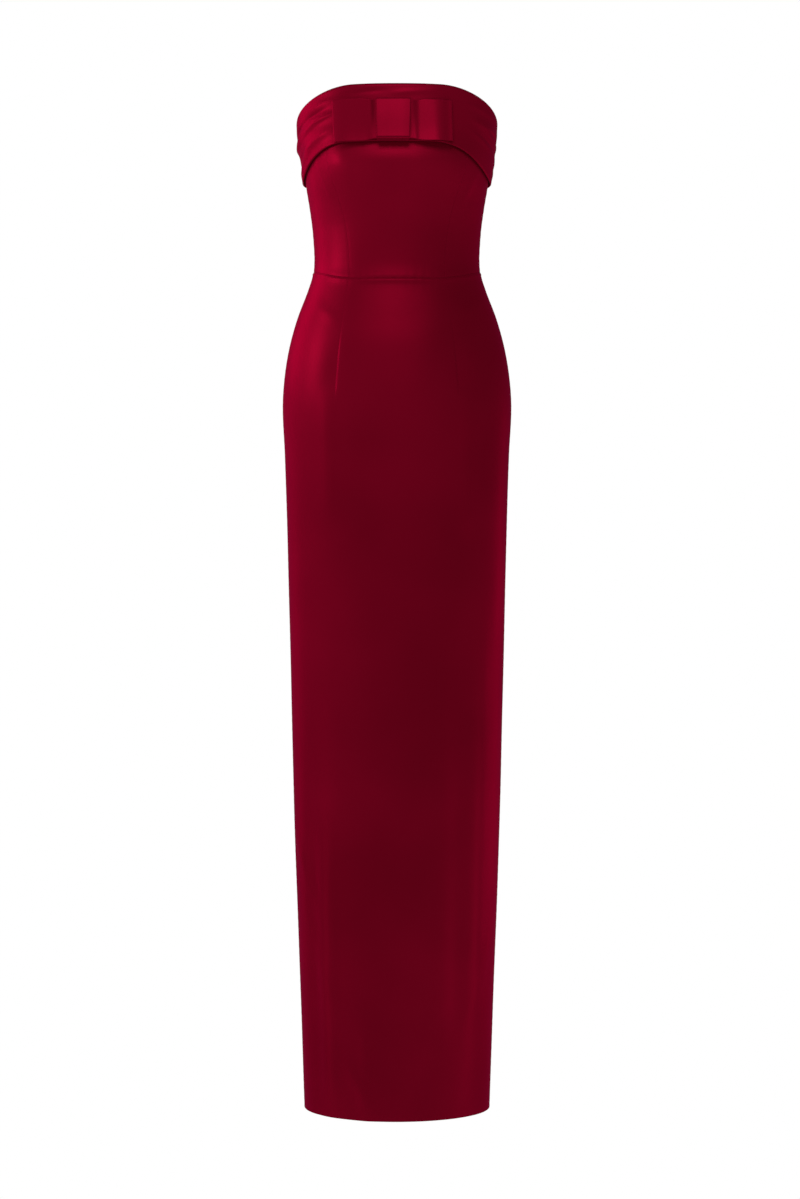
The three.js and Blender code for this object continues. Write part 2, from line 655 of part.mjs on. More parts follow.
function sliderGeometry() {
  const [low, high, half, r] = [SLIDER.bottomHalf, SLIDER.topHalf, SLIDER.height / 2, SLIDER.corner];
  const outline = new THREE.Shape();
  outline.moveTo(-low + r, -half).lineTo(low - r, -half).quadraticCurveTo(low, -half, low, -half + r);
  outline.lineTo(high, half - r).quadraticCurveTo(high, half, high - r, half);
  outline.lineTo(-high + r, half).quadraticCurveTo(-high, half, -high, half - r);
  outline.lineTo(-low, -half + r).quadraticCurveTo(-low, -half, -low + r, -half);
  let solid = upright(outline, SLIDER.depth, sliderBackY, sliderMiddleZ);
  const earX = PULL.half + PIN_CLEARANCE + EAR.thick / 2;
  const earDepth = pinY + PULL.knuckle - sliderBackY - SLIDER.depth / 2;
  const earY = sliderBackY + SLIDER.depth / 2 + earDepth / 2;
  for (const side of [-1, 1]) {
    const ear = new THREE.BoxGeometry(EAR.thick, earDepth, EAR.height);
    solid = solid.add(toSolid(ear.translate(side * earX, earY, pinZ)));
  }
  return toGeometry(solid.add(crossBar(PIN_RADIUS, 2 * earX)));
}

function pullGeometry() {
  const endZ = PULL.endRadius - PULL.length;
  const outline = new THREE.Shape();
  outline.moveTo(-PULL.half, 0).lineTo(-PULL.endRadius, endZ);
  outline.absarc(0, endZ, PULL.endRadius, Math.PI, 2 * Math.PI, false).lineTo(PULL.half, 0);
  outline.holes.push(new THREE.Path().absarc(0, endZ, PULL.holeRadius, 0, 2 * Math.PI));
  const tab = upright(outline, PULL.thick, pinY - PULL.thick / 2, pinZ);
  const knuckle = crossBar(PULL.knuckle, 2 * PULL.half);
  const bore = crossBar(PIN_RADIUS + PIN_CLEARANCE, 4 * PULL.half);
  return toGeometry(tab.add(knuckle).subtract(bore));
}

addPiece("bodice_front_center", bodicePanel(-PRINCESS_COLUMN, PRINCESS_COLUMN), SATIN);
addPiece("bodice_side_front_left", bodicePanel(PRINCESS_COLUMN, SIDE_COLUMN), SATIN);
addPiece("bodice_side_front_right", bodicePanel(-SIDE_COLUMN, -PRINCESS_COLUMN), SATIN);
addPiece("bodice_back_left", bodicePanel(SIDE_COLUMN, BACK_COLUMN), SATIN);
addPiece("bodice_back_right", bodicePanel(-BACK_COLUMN, -SIDE_COLUMN), SATIN);
addPiece("skirt_front", skirtPanel(-SIDE_COLUMN, SIDE_COLUMN), SATIN);
addPiece("skirt_back_left", skirtPanel(SIDE_COLUMN, BACK_COLUMN), SATIN);
addPiece("skirt_back_right", skirtPanel(-BACK_COLUMN, -SIDE_COLUMN), SATIN);
addPiece("cuff_front", cuffGeometry(-SIDE_COLUMN, SIDE_COLUMN), SATIN);
addPiece("cuff_back_left", cuffGeometry(SIDE_COLUMN, BACK_COLUMN), SATIN);
addPiece("cuff_back_right", cuffGeometry(-BACK_COLUMN, -SIDE_COLUMN), SATIN);
addPiece("bow_loop_left", loopGeometry(1, BOW_LEFT_REACH), SATIN);
addPiece("bow_loop_right", loopGeometry(-1, BOW_RIGHT_REACH), SATIN);
addPiece("bow_knot", knotGeometry(), SATIN);
addPiece("zip_tape", zipTapeGeometry(), ZIP_CLOTH);
addPiece("zip_slider", sliderGeometry(), ZIP_METAL);
addPiece("zip_pull_tab", pullGeometry(), ZIP_METAL);

export default dress;
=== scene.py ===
# A strapless satin maxi dress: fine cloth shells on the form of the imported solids, with its finish, lights
# and camera. The cut and its tables are in millimetres, and MM turns them into metres.
import math

import bpy
import numpy as np
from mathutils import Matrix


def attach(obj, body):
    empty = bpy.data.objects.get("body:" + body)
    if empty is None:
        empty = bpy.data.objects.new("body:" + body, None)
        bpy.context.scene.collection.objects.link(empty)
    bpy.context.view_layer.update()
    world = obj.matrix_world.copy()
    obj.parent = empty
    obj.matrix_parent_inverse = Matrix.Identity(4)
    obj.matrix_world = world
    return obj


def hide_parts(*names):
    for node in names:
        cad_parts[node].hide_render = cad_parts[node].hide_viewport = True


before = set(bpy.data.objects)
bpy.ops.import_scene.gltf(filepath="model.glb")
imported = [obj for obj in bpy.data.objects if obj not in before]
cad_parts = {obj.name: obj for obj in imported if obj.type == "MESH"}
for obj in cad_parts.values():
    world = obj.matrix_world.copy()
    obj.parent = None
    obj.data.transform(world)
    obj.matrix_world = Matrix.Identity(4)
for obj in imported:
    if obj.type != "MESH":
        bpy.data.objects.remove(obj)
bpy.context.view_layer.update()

MM = 0.001
BODY = "dress"

# Heights from the bust line, as in the solids, and the angles from the front over which they change
NECK_FRONT_Z = 83
NECK_SIDE_DROP = 35.5
NECK_DROPS_OVER = (28, 100)
CUFF_BOTTOM_Z = 7
CUFF_SIDE_DROP = 38
CUFF_DROPS_LEFT_OVER = (24, 82)
CUFF_DROPS_RIGHT_OVER = (34, 90)
WAIST_FRONT_Z = -167
WAIST_SIDE_RISE = 18.5
WAIST_RISES_OVER = (28, 95)
HEM_Z = -1274

# Angles from the centre front in degrees, and the darts' tips
PRINCESS_WAIST_ANGLE = 39.4
PRINCESS_NECK_ANGLE = 50.5
FRONT_DART_TIP_ANGLE = 41
BACK_DART_ANGLE = 146
FRONT_DART_TIP_Z = -323
BACK_DART_TIP_Z = -300
BACK_DART_BODICE_TIP_Z = -45
DART_FADE = 50
SLIT_TOP_Z = -800
SLIT_HALF_GAP_AT_HEM = 7

# The shell's horizontal sections
SECTIONS = [
    {"z": 110, "half": 133.5, "front": 113, "back": 87, "round_front": 2.35, "round_back": 2.2},
    {"z": 50, "half": 131.8, "front": 112.5, "back": 88, "round_front": 2.35, "round_back": 2.2},
    {"z": 0, "half": 127.5, "front": 109, "back": 90, "round_front": 2.35, "round_back": 2.2},
    {"z": -35, "half": 122.6, "front": 104, "back": 90, "round_front": 2.3, "round_back": 2.2},
    {"z": -65, "half": 117.6, "front": 95.5, "back": 88.5, "round_front": 2.25, "round_back": 2.2},
    {"z": -100, "half": 113.2, "front": 88, "back": 86, "round_front": 2.2, "round_back": 2.2},
    {"z": -145, "half": 111.8, "front": 86, "back": 83, "round_front": 2.2, "round_back": 2.2},
    {"z": -172, "half": 119, "front": 89, "back": 88, "round_front": 2.2, "round_back": 2.2},
    {"z": -213, "half": 134.3, "front": 96, "back": 101, "round_front": 2.2, "round_back": 2.15},
    {"z": -253, "half": 145.3, "front": 102.5, "back": 114, "round_front": 2.15, "round_back": 2.15},
    {"z": -294, "half": 151.9, "front": 106, "back": 124, "round_front": 2.15, "round_back": 2.1},
    {"z": -334, "half": 154.2, "front": 107.5, "back": 129, "round_front": 2.15, "round_back": 2.1},
    {"z": -395, "half": 151.3, "front": 107.5, "back": 130, "round_front": 2.15, "round_back": 2.1},
    {"z": -537, "half": 146.7, "front": 106.5, "back": 126, "round_front": 2.1, "round_back": 2.1},
    {"z": -861, "half": 139, "front": 104.5, "back": 121, "round_front": 2.05, "round_back": 2.05},
    {"z": -1274, "half": 124.7, "front": 101, "back": 116, "round_front": 2, "round_back": 2},
]
SECTION_Z = np.array([row["z"] for row in SECTIONS], float)

# The bust's fullness: flat from cup to cup, and swelling out below the cuff
BUST = {"cup_angle": 34, "z": -20, "rise": 9, "beside": 15, "above": 28, "below": 34}

# The skirt's soft folds. Each fades over its length divided by three at its top, and by five at its foot
FOLDS = [
    {"angle": -50, "top": -840, "bottom": -1300, "rise": 3.2, "spread": 7},
    {"angle": -62, "top": -760, "bottom": -1300, "rise": -2.2, "spread": 6},
    {"angle": 57, "top": -520, "bottom": -1180, "rise": 2.6, "spread": 8},
    {"angle": 43, "top": -560, "bottom": -1240, "rise": -1.8, "spread": 8},
    {"angle": -22, "top": -1120, "bottom": -1300, "rise": 2, "spread": 7},
    {"angle": 47, "top": -300, "bottom": -520, "rise": 2.4, "spread": 6},
    {"angle": -46, "top": -300, "bottom": -500, "rise": 2, "spread": 6},
    {"angle": 128, "top": -520, "bottom": -1300, "rise": 3, "spread": 8},
    {"angle": 153, "top": -640, "bottom": -1300, "rise": -3, "spread": 9},
    {"angle": -132, "top": -480, "bottom": -1300, "rise": 3.2, "spread": 8},
    {"angle": -156, "top": -700, "bottom": -1300, "rise": -2.6, "spread": 9},
]
FOLD_FADES = {"top": 3, "bottom": 5}

# Drag lines: low creases that slant from one angle and height to another
CREASES = [
    {"from_angle": -78, "from_z": -905, "to_angle": -57, "to_z": -1010, "rise": 1.5, "spread": 9},
    {"from_angle": -70, "from_z": -985, "to_angle": -48, "to_z": -1130, "rise": 1.1, "spread": 12},
    {"from_angle": -36, "from_z": -1205, "to_angle": -20, "to_z": -1262, "rise": 1.2, "spread": 9},
    {"from_angle": 74, "from_z": -1030, "to_angle": 52, "to_z": -1150, "rise": 1.0, "spread": 12},
    {"from_angle": 30, "from_z": -1120, "to_angle": 8, "to_z": -1230, "rise": 0.8, "spread": 14},
    {"from_angle": 108, "from_z": -940, "to_angle": 136, "to_z": -1080, "rise": 1.4, "spread": 11},
    {"from_angle": -112, "from_z": -820, "to_angle": -140, "to_z": -960, "rise": 1.4, "spread": 11},
    {"from_angle": -66, "from_z": -196, "to_angle": -44, "to_z": -222, "rise": 0.7, "spread": 6},
    {"from_angle": 70, "from_z": -190, "to_angle": 48, "to_z": -214, "rise": 0.7, "spread": 6},
    {"from_angle": 158, "from_z": -182, "to_angle": 122, "to_z": -205, "rise": 0.9, "spread": 6},
    {"from_angle": -154, "from_z": -186, "to_angle": -118, "to_z": -212, "rise": 0.9, "spread": 6},
    {"from_angle": -58, "from_z": -8, "to_angle": -49, "to_z": -62, "rise": 1.3, "spread": 5},
    {"from_angle": 60, "from_z": -18, "to_angle": 50, "to_z": -70, "rise": 0.7, "spread": 6},
    {"from_angle": -30, "from_z": -18, "to_angle": -37, "to_z": -52, "rise": 0.5, "spread": 6},
    {"from_angle": 12, "from_z": -16, "to_angle": 22, "to_z": -44, "rise": 0.4, "spread": 7},
    {"from_angle": 100, "from_z": -128, "to_angle": 140, "to_z": -112, "rise": 0.8, "spread": 6},
    {"from_angle": -98, "from_z": -122, "to_angle": -136, "to_z": -132, "rise": 0.8, "spread": 6},
]
CREASE_FADES_OVER = (-0.25, 0.3)

# Long soft waves in the satin: turns go round the dress, and slant and length go down it
RIPPLE_SLOW = {"rise": 0.35, "turns": 3, "slant": 140, "shift": 0.7, "length": 95, "sway": 2}
RIPPLE_QUICK = {"rise": 0.13, "turns": 9, "slant": -62, "shift": 1.9, "length": 47, "sway": 3}

# Lengthwise pleats in the cuff: share is the height from its lower edge to its top
CUFF_PLEATS = [
    {"share_front": 0.58, "share_side": 0.77, "rise": 1.5, "above": 0.085, "below": 0.05, "sway": 0.7},
    {"share_front": 0.5, "share_side": 0.58, "rise": 1.2, "above": 0.075, "below": 0.045, "sway": 2.9},
    {"share_front": 0.34, "share_side": 0.37, "rise": 0.9, "above": 0.08, "below": 0.05, "sway": 4.6},
]
PLEAT_STARTS_AT = 42
PLEAT_FULL_AT = 62
PLEAT_DRIFT = {"share": 0.035, "turns": 3.7}
PLEAT_UNEVEN = {"even": 0.75, "wave": 0.45, "turns": 6.1}
CUFF_GAP_AT_TOP = 1.2
CUFF_GAP_AT_SIDE = 1.5
CUFF_GAP_AT_FRONT = 3.2
CUFF_GAP_CLOSES = (30, 80)
CUFF_GAP_EVEN_FROM = 0.9
CUFF_ROLL = 4
CUFF_ROLL_TURNS = (0, 12, 25, 40, 55, 70, 90, 110, 125, 140, 155, 168, 180)
CUFF_SOLID_WALL = 2.6
CUFF_RIPPLE = 0.9
CUFF_FREE_EDGE = 1.6
CUFF_LEAF_DEPTH = 80
CUFF_LEAF_ROWS = 60
CUFF_BLEND_ROWS = 6
CUFF_PIECES = [
    {"node": "cuff_front", "start": -90, "end": 90, "steps": 120},
    {"node": "cuff_back_left", "start": 90, "end": 180, "steps": 60},
    {"node": "cuff_back_right", "start": -180, "end": -90, "steps": 60},
]
BODICE_SOLID_WALL = 2

# Small creases in the cuff, running round it: side is -1 on the wearer's right, and angles go from the front
CUFF_CREASES = [
    {"side": -1, "angles": (40, 86), "shares": (0.66, 0.71), "rise": -1.8, "spread": 0.045},
    {"side": -1, "angles": (34, 82), "shares": (0.76, 0.88), "rise": 1.2, "spread": 0.07},
    {"side": -1, "angles": (36, 68), "shares": (0.55, 0.54), "rise": 1.3, "spread": 0.045},
    {"side": -1, "angles": (56, 112), "shares": (0.6, 0.58), "rise": 1.5, "spread": 0.09},
    {"side": -1, "angles": (56, 112), "shares": (0.34, 0.3), "rise": -2.0, "spread": 0.13},
    {"side": -1, "angles": (36, 74), "shares": (0.27, 0.25), "rise": 2.0, "spread": 0.09},
    {"side": -1, "angles": (56, 92), "shares": (0.16, 0.12), "rise": 0.6, "spread": 0.05},
    {"side": -1, "angles": (4, 44), "shares": (0.88, 0.82), "rise": -0.7, "spread": 0.04},
    {"side": 1, "angles": (-8, 34), "shares": (0.82, 0.9), "rise": 0.7, "spread": 0.05},
    {"side": 1, "angles": (58, 108), "shares": (0.6, 0.66), "rise": -1.4, "spread": 0.03},
    {"side": 1, "angles": (48, 94), "shares": (0.42, 0.48), "rise": -0.9, "spread": 0.028},
    {"side": 1, "angles": (40, 84), "shares": (0.76, 0.9), "rise": 0.6, "spread": 0.05},
    {"side": 1, "angles": (64, 94), "shares": (0.24, 0.12), "rise": 0.6, "spread": 0.05},
    {"side": -1, "angles": (112, 176), "shares": (0.66, 0.52), "rise": -0.8, "spread": 0.024},
    {"side": 1, "angles": (110, 176), "shares": (0.48, 0.58), "rise": -0.8, "spread": 0.024},
]
CUFF_CREASE_ENDS = (0.35, 0.25)

# The bow. A loop stands out by its lift and waves, and tilts by so much from bottom to top
BOW_X = -4.6
BOW_LEFT_REACH = 76.5
BOW_RIGHT_REACH = 78
BOW_TOP_Z = 61.5
BOW_PINCH = 2.4
BOW_PINCH_REACH = 42
BOW_SOLID_WALL = 1.2
BOW_CLOTH = 0.9
BOW_LIFT = 0.4
LOOP_HOLLOW = 3.0
LOOP_LIFT = {1: 2.3, -1: 0}
LOOP_TILT = {1: -3.2, -1: 4.6}
LOOP_SETTLES_OVER = 12
LOOP_FULL_AT = 0.75
LOOP_WAVES_FULL_FROM = 8
LOOP_DEPTH = 50
LOOP_STEPS = 44
LOOP_FOLD_STEPS = 12
LOOP_ROWS = 22
KNOT_HALF_WIDTH = 22.8
KNOT_TAPER = 1.6
KNOT_TOP_Z = 62.6
KNOT_BOTTOM_Z = 7.4
KNOT_CROWN = 1.2
KNOT_TILT = 5.4
KNOT_CORNER = 2.2
KNOT_CORNER_TURNS = (15, 30, 45, 60, 75, 90)
KNOT_CLEARANCE = 1
KNOT_EDGE = 1
KNOT_WAVE = {"rise": 0.25, "turns": 9, "shift": 0.8}
KNOT_COLUMNS = 18
KNOT_FRONT_ROWS = 20
KNOT_BACK_ROWS = 12

# Soft waves across the loops' front leaves, by distance from the bow's middle
LOOP_WAVES = [
    {"side": 1, "reach": 58, "rise": 3.0, "spread": 12, "top_share": 0.4},
    {"side": 1, "reach": 80, "rise": 4.3, "spread": 14, "top_share": 0.55},
    {"side": 1, "reach": 71, "rise": -0.7, "spread": 5, "top_share": 0.9},
    {"side": 1, "reach": 33, "rise": -0.7, "spread": 6, "top_share": 1.1},
    {"side": -1, "reach": 80, "rise": 3.0, "spread": 30, "top_share": 1.0},
    {"side": -1, "reach": 50, "rise": -0.5, "spread": 9, "top_share": 0.6},
]

# The zip
ZIP_BOTTOM_Z = -335
ZIP_HALF_WIDTH = 12
ZIP_TAPE_GAP = 0.6
ZIP_TAPE_THICK = 0.5
ZIP_BELOW_EDGE = 1
ZIP_END = 4
ZIP_ROWS = 90
ZIP_COLUMNS = 8
COIL_PITCH = 1.6
COIL_RADIUS = 1.0
COIL_WIRE = 0.34
COIL_REACH = 1.7
COIL_SLANT = 0.2
COIL_LIFT = 0.1
COIL_STEPS = 7
STITCH_LENGTH = 2.6
STITCH_PITCH = 3.6
STITCH_RADIUS = 0.18
STITCH_AT = 0.72
STITCH_LIFTS = (-0.1, 0.12, 0.12, -0.1)
TUBE_SIDES = 6
# A direction that no tube runs along, to turn each tube's rings by
OFF_AXIS = (0.31, 0.17, 0.93)

# The cloth's own thickness, its edges, and the relief along its seams and darts
BODICE_CLOTH = 1.6
SKIRT_CLOTH = 1.3
TURNED_EDGE = 0.9
SEAM_EDGE = 0.12
SEAM_GAP = 0.3
SEAM_DIP = 0.1
SEAM_DIP_REACH = 3.2
EDGE_STOPS = (0, 0.12, 0.35, 0.75, 1.3, 2.1, 3.4, 5.2)
BODICE_ROWS = 70
SKIRT_ROWS = 210
PUCKER = {"rise": 0.14, "pitch": 11.5, "reach": 6.5, "sway": 1.4, "sway_length": 37, "clear": 2}
DART_GROOVE = {"depth": 0.06, "spread": 0.9, "below_tip": 2, "above_tip": 14}
DART_HOLLOW = {"depth": 1.1, "towards_front": 1.3, "towards_side": 15, "above_tip": 32, "length": 34}
WAIST_DIP = 0.35
WAIST_LIP = {"rise": 0.85, "below": 3.0, "spread": 2.0}

# Camera, floor and lights, in metres
CAMERA_AT = (0.004, -3.3, -0.5901)
CAMERA_LENS = 73.4
FLOOR_DROP = 0.25
FLOOR_RADIUS = 0.5
FLOOR_SIDES = 96
WORLD_ABOVE = 0.13
WORLD_BELOW = 0.44
WORLD_TURNS_AT = 0.3

# Soft lights: where each stands, the point that it faces, its width and height, and its power in watts
LIGHTS = {
    "key_left": {"at": (-1.12, 0.48, 0.35), "to": (-0.05, 0, -0.1), "size": (0.9, 0.9), "power": 6.8},
    "left": {"at": (-1.2, -0.4, 0.14), "to": (-0.1, 0, 0), "size": (0.3, 0.3), "power": 3.1},
    "top_front": {"at": (-0.1, -1.7, 1.05), "to": (0, 0, -0.15), "size": (1.0, 0.7), "power": 9.7},
    "side_left": {"at": (-1.5, 0.9, -0.8), "to": (0, 0, -0.8), "size": (0.5, 1.0), "power": 1.5},
    "side_right": {"at": (1.5, 0.9, -0.8), "to": (0, 0, -0.8), "size": (0.5, 1.0), "power": 2.5},
    "low_left": {"at": (-0.9, -0.35, -1.15), "to": (-0.1, 0, -0.95), "size": (0.3, 0.6), "power": 0.4},
    "low_right": {"at": (0.9, -0.25, -1.15), "to": (0.1, 0, -0.95), "size": (0.3, 0.6), "power": 0.5},
}


def lerp(a, b, t):
    return a + (b - a) * t


def smoothstep(x, low, high):
    t = np.clip((x - low) / (high - low), 0, 1)
    return t * t * (3 - 2 * t)


def bell(x, spread):
    return np.exp(-((x / spread) ** 2))


# The shell
def section_value(z, key):
    """A column of the section table at a height, on the same cubic as the solids."""
    value = np.array([row[key] for row in SECTIONS], float)
    last = len(value) - 1
    i = np.clip(np.searchsorted(-SECTION_Z, -z, side="right") - 1, 0, last - 1)
    before, after = np.maximum(i - 1, 0), np.minimum(i + 2, last)
    slope_from = (value[i + 1] - value[before]) / (SECTION_Z[i + 1] - SECTION_Z[before])
    slope_to = (value[after] - value[i]) / (SECTION_Z[after] - SECTION_Z[i])
    span = SECTION_Z[i + 1] - SECTION_Z[i]
    t = (z - SECTION_Z[i]) / span
    ends = value[i] * (1 + 2 * t) * (1 - t) ** 2 + value[i + 1] * t * t * (3 - 2 * t)
    return ends + slope_from * span * t * (1 - t) ** 2 + slope_to * span * t * t * (t - 1)


def section_radius(angle, z):
    a = np.radians(angle)
    towards_back = np.cos(a) < 0
    rounding = np.where(towards_back, section_value(z, "round_back"), section_value(z, "round_front"))
    depth = np.where(towards_back, section_value(z, "back"), section_value(z, "front"))
    across = np.abs(np.sin(a)) / section_value(z, "half")
    along = np.abs(np.cos(a)) / depth
    return (across**rounding + along**rounding) ** (-1 / rounding)


def bust_rise(angle, z):
    beside = np.maximum(np.abs(angle) - BUST["cup_angle"], 0)
    along = np.where(z > BUST["z"], BUST["above"], BUST["below"])
    return BUST["rise"] * bell(beside, BUST["beside"]) * bell(z - BUST["z"], along)


def fold_rise(angle, z):
    rise = np.zeros(np.broadcast(angle, z).shape)
    for fold in FOLDS:
        length = fold["top"] - fold["bottom"]
        above = smoothstep(fold["top"] - z, 0, length / FOLD_FADES["top"])
        along = above * smoothstep(z - fold["bottom"], 0, length / FOLD_FADES["bottom"])
        rise += fold["rise"] * along * bell(angle - fold["angle"], fold["spread"])
    return rise


def crease_rise(angle, z):
    """Slanting drag lines, each a low ridge that fades at both ends."""
    rise = np.zeros(np.broadcast(angle, z).shape)
    radius = section_radius(angle, z)
    for crease in CREASES:
        across = np.radians(crease["to_angle"] - crease["from_angle"]) * radius
        down = crease["to_z"] - crease["from_z"]
        length = np.hypot(across, down)
        dx = np.radians(angle - crease["from_angle"]) * radius
        dz = z - crease["from_z"]
        share = (dx * across + dz * down) / length**2
        aside = (dx * down - dz * across) / length
        ends = smoothstep(share, *CREASE_FADES_OVER) * smoothstep(1 - share, *CREASE_FADES_OVER)
        rise += crease["rise"] * ends * bell(aside, crease["spread"])
    return rise


def ripple(angle, z):
    """The faint unevenness of heavy satin: long soft waves that never repeat in step."""
    a = np.radians(angle)
    rise = 0
    for wave, sway in ((RIPPLE_SLOW, np.sin(a)), (RIPPLE_QUICK, np.cos(2 * a))):
        across = np.sin(wave["turns"] * a + z / wave["slant"] + wave["shift"])
        down = np.sin(z / wave["length"] + wave["sway"] * sway)
        rise = rise + wave["rise"] * (across * down)
    return rise


def front_dart_angle(z):
    share = smoothstep(-z, -WAIST_FRONT_Z, -FRONT_DART_TIP_Z)
    return lerp(PRINCESS_WAIST_ANGLE, FRONT_DART_TIP_ANGLE, share)


def dart_rise(angle, z, in_skirt):
    """The stitched darts: a fine groove, pressed to the front, with a hollow beside it near the tip."""
    from_front = np.abs(angle)
    radius = section_radius(angle, z)
    below = smoothstep(z, BACK_DART_TIP_Z, BACK_DART_TIP_Z + DART_FADE)
    above = smoothstep(BACK_DART_BODICE_TIP_Z - z, 0, DART_FADE)
    back = bell(np.radians(from_front - BACK_DART_ANGLE) * radius, DART_GROOVE["spread"]) * below * above
    if not in_skirt:
        return -DART_GROOVE["depth"] * back
    beside = np.radians(from_front - front_dart_angle(z)) * radius
    tip = FRONT_DART_TIP_Z
    stitched = smoothstep(z, tip - DART_GROOVE["below_tip"], tip + DART_GROOVE["above_tip"])
    groove = DART_GROOVE["depth"] * stitched * bell(beside, DART_GROOVE["spread"])
    spread = np.where(beside > 0, DART_HOLLOW["towards_side"], DART_HOLLOW["towards_front"])
    hollow = DART_HOLLOW["depth"] * stitched * bell(beside, spread)
    hollow = hollow * bell(z - tip - DART_HOLLOW["above_tip"], DART_HOLLOW["length"])
    return -DART_GROOVE["depth"] * back - groove - hollow


def shell_point(angle, z, out, fine=0):
    """Points of the cloth's outer face, moved out at right angles to the horizontal section."""
    step = 0.5
    turn = [np.radians(angle + side * step) for side in (-1, 1)]
    radius = [section_radius(angle + side * step, z) for side in (-1, 1)]
    along_x = radius[1] * np.sin(turn[1]) - radius[0] * np.sin(turn[0])
    along_y = -radius[1] * np.cos(turn[1]) + radius[0] * np.cos(turn[0])
    length = np.hypot(along_x, along_y)
    r = section_radius(angle, z) + bust_rise(angle, z) + fold_rise(angle, z)
    a = np.radians(angle)
    lift = out + fine
    x = r * np.sin(a) + along_y / length * lift
    y = -r * np.cos(a) - along_x / length * lift
    return np.stack([x, y, z + np.zeros_like(x)], axis=-1)


def neck_z(angle):
    return NECK_FRONT_Z - NECK_SIDE_DROP * smoothstep(np.abs(angle), *NECK_DROPS_OVER)


def cuff_bottom_z(angle):
    left = smoothstep(angle, *CUFF_DROPS_LEFT_OVER)
    right = smoothstep(-angle, *CUFF_DROPS_RIGHT_OVER)
    return CUFF_BOTTOM_Z - CUFF_SIDE_DROP * (left + right)


def waist_z(angle):
    return WAIST_FRONT_Z + WAIST_SIDE_RISE * smoothstep(np.abs(angle), *WAIST_RISES_OVER)


def bodice_top_z(angle):
    return neck_z(angle) - CUFF_ROLL - SEAM_GAP


# Sheets
def edge_stops(width, steps):
    """Shares from 0 to 1 with close steps at both ends, where the cloth is turned or sewn."""
    near = np.array([stop for stop in EDGE_STOPS if stop < width / 3]) / width
    middle = np.linspace(near[-1], 1 - near[-1], steps + 1)[1:-1]
    return np.concatenate([near, middle, 1 - near[::-1]])


def edge_roundness(distances, reaches):
    """0 on an edge and 1 inside it, along a quarter circle."""
    full = 1.0
    for distance, reach in zip(distances, reaches):
        left = 1 - np.clip(distance / reach, 0, 1)
        full = np.minimum(full, np.sqrt(np.maximum(1 - left * left, 0)))
    return full


def grid_lengths(points, axis):
    steps = np.linalg.norm(np.diff(points, axis=axis), axis=-1)
    zero = np.zeros_like(np.take(steps, [0], axis=axis))
    return np.cumsum(np.concatenate([zero, steps], axis=axis), axis=axis)


def edge_distances(points):
    """How far each point of a sheet lies from its four edges, along the cloth."""
    down, along = grid_lengths(points, 0), grid_lengths(points, 1)
    return [down, down[[-1]] - down, along, along[:, [-1]] - along]


def two_faces(outer, inner, roundness):
    """The points of a sheet's two faces, which meet where the roundness is 0."""
    middle, half = (outer + inner) / 2, (outer - inner) / 2
    faces = [middle + half * roundness[..., None], middle - half * roundness[..., None]]
    return np.concatenate([face.reshape(-1, 3) for face in faces])


def face_numbers(outer):
    """The numbers of the points of the two faces, as grids."""
    first = np.arange(outer.shape[0] * outer.shape[1]).reshape(outer.shape[:2])
    return first, first + first.size


def face_quads(first, second):
    """The quads of the two faces, the second ones turned round."""
    quads = []
    for index, order in ((first, 1), (second, -1)):
        corners = [index[:-1, :-1], index[:-1, 1:], index[1:, 1:], index[1:, :-1]]
        quads.append(np.stack([corner.ravel() for corner in corners], axis=-1)[:, ::order])
    return np.concatenate(quads)


def cloth_uv(across, down):
    """Places along the cloth in metres, the same on both faces."""
    return np.tile(np.stack([across, down], axis=-1).reshape(-1, 2), (2, 1)) * MM


def closed_sheet(name, outer, inner, roundness, material):
    """A closed mesh from the two faces of a sheet, which meet at its edges."""
    rows, columns = outer.shape[:2]
    first, second = face_numbers(outer)
    for edge in (np.s_[0, :], np.s_[-1, :], np.s_[:, 0], np.s_[:, -1]):
        second[edge] = first[edge]
    across = np.broadcast_to(grid_lengths(outer, 1)[rows // 2], (rows, columns))
    down = np.broadcast_to(grid_lengths(outer, 0)[:, [columns // 2]], (rows, columns))
    points = two_faces(outer, inner, roundness)
    return add_mesh(name, points, face_quads(first, second), material, cloth_uv(across, down))


def ring_sheet(name, outer, inner, roundness, material):
    """As closed_sheet, for a band whose last column is its first one."""
    first, second = face_numbers(outer)
    second[0], second[-1] = first[0], first[-1]
    for index in (first, second):
        index[:, -1] = index[:, 0]
    points = two_faces(outer, inner, roundness)
    uv = cloth_uv(grid_lengths(outer, 0), grid_lengths(outer, 1))
    return add_mesh(name, points, face_quads(first, second), material, uv)


def finish_cloth(node):
    """Hides the solid that a cloth piece stands in for."""
    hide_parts(node)


def add_mesh(name, points, quads, material, uv=None):
    """A smooth mesh with no loose points and its faces pointing out."""
    used, index = np.unique(quads, return_inverse=True)
    quads = index.reshape(quads.shape)
    points = points[used] * MM
    a, b, c, d = (points[quads[:, k]] for k in range(4))
    volume = (np.cross(b - a, c - a) * a).sum() + (np.cross(c - a, d - a) * a).sum()
    if volume < 0:
        quads = quads[:, ::-1]
    mesh = bpy.data.meshes.new(name)
    mesh.from_pydata(points.tolist(), [], quads.tolist())
    mesh.shade_smooth()
    mesh.materials.append(material)
    if uv is not None:
        loops = np.empty(len(mesh.loops), np.int32)
        mesh.loops.foreach_get("vertex_index", loops)
        mesh.uv_layers.new(name="cloth").uv.foreach_set("vector", uv[used][loops].astype(np.float32).ravel())
    piece = bpy.data.objects.new(name, mesh)
    bpy.context.scene.collection.objects.link(piece)
    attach(piece, BODY)
    return piece


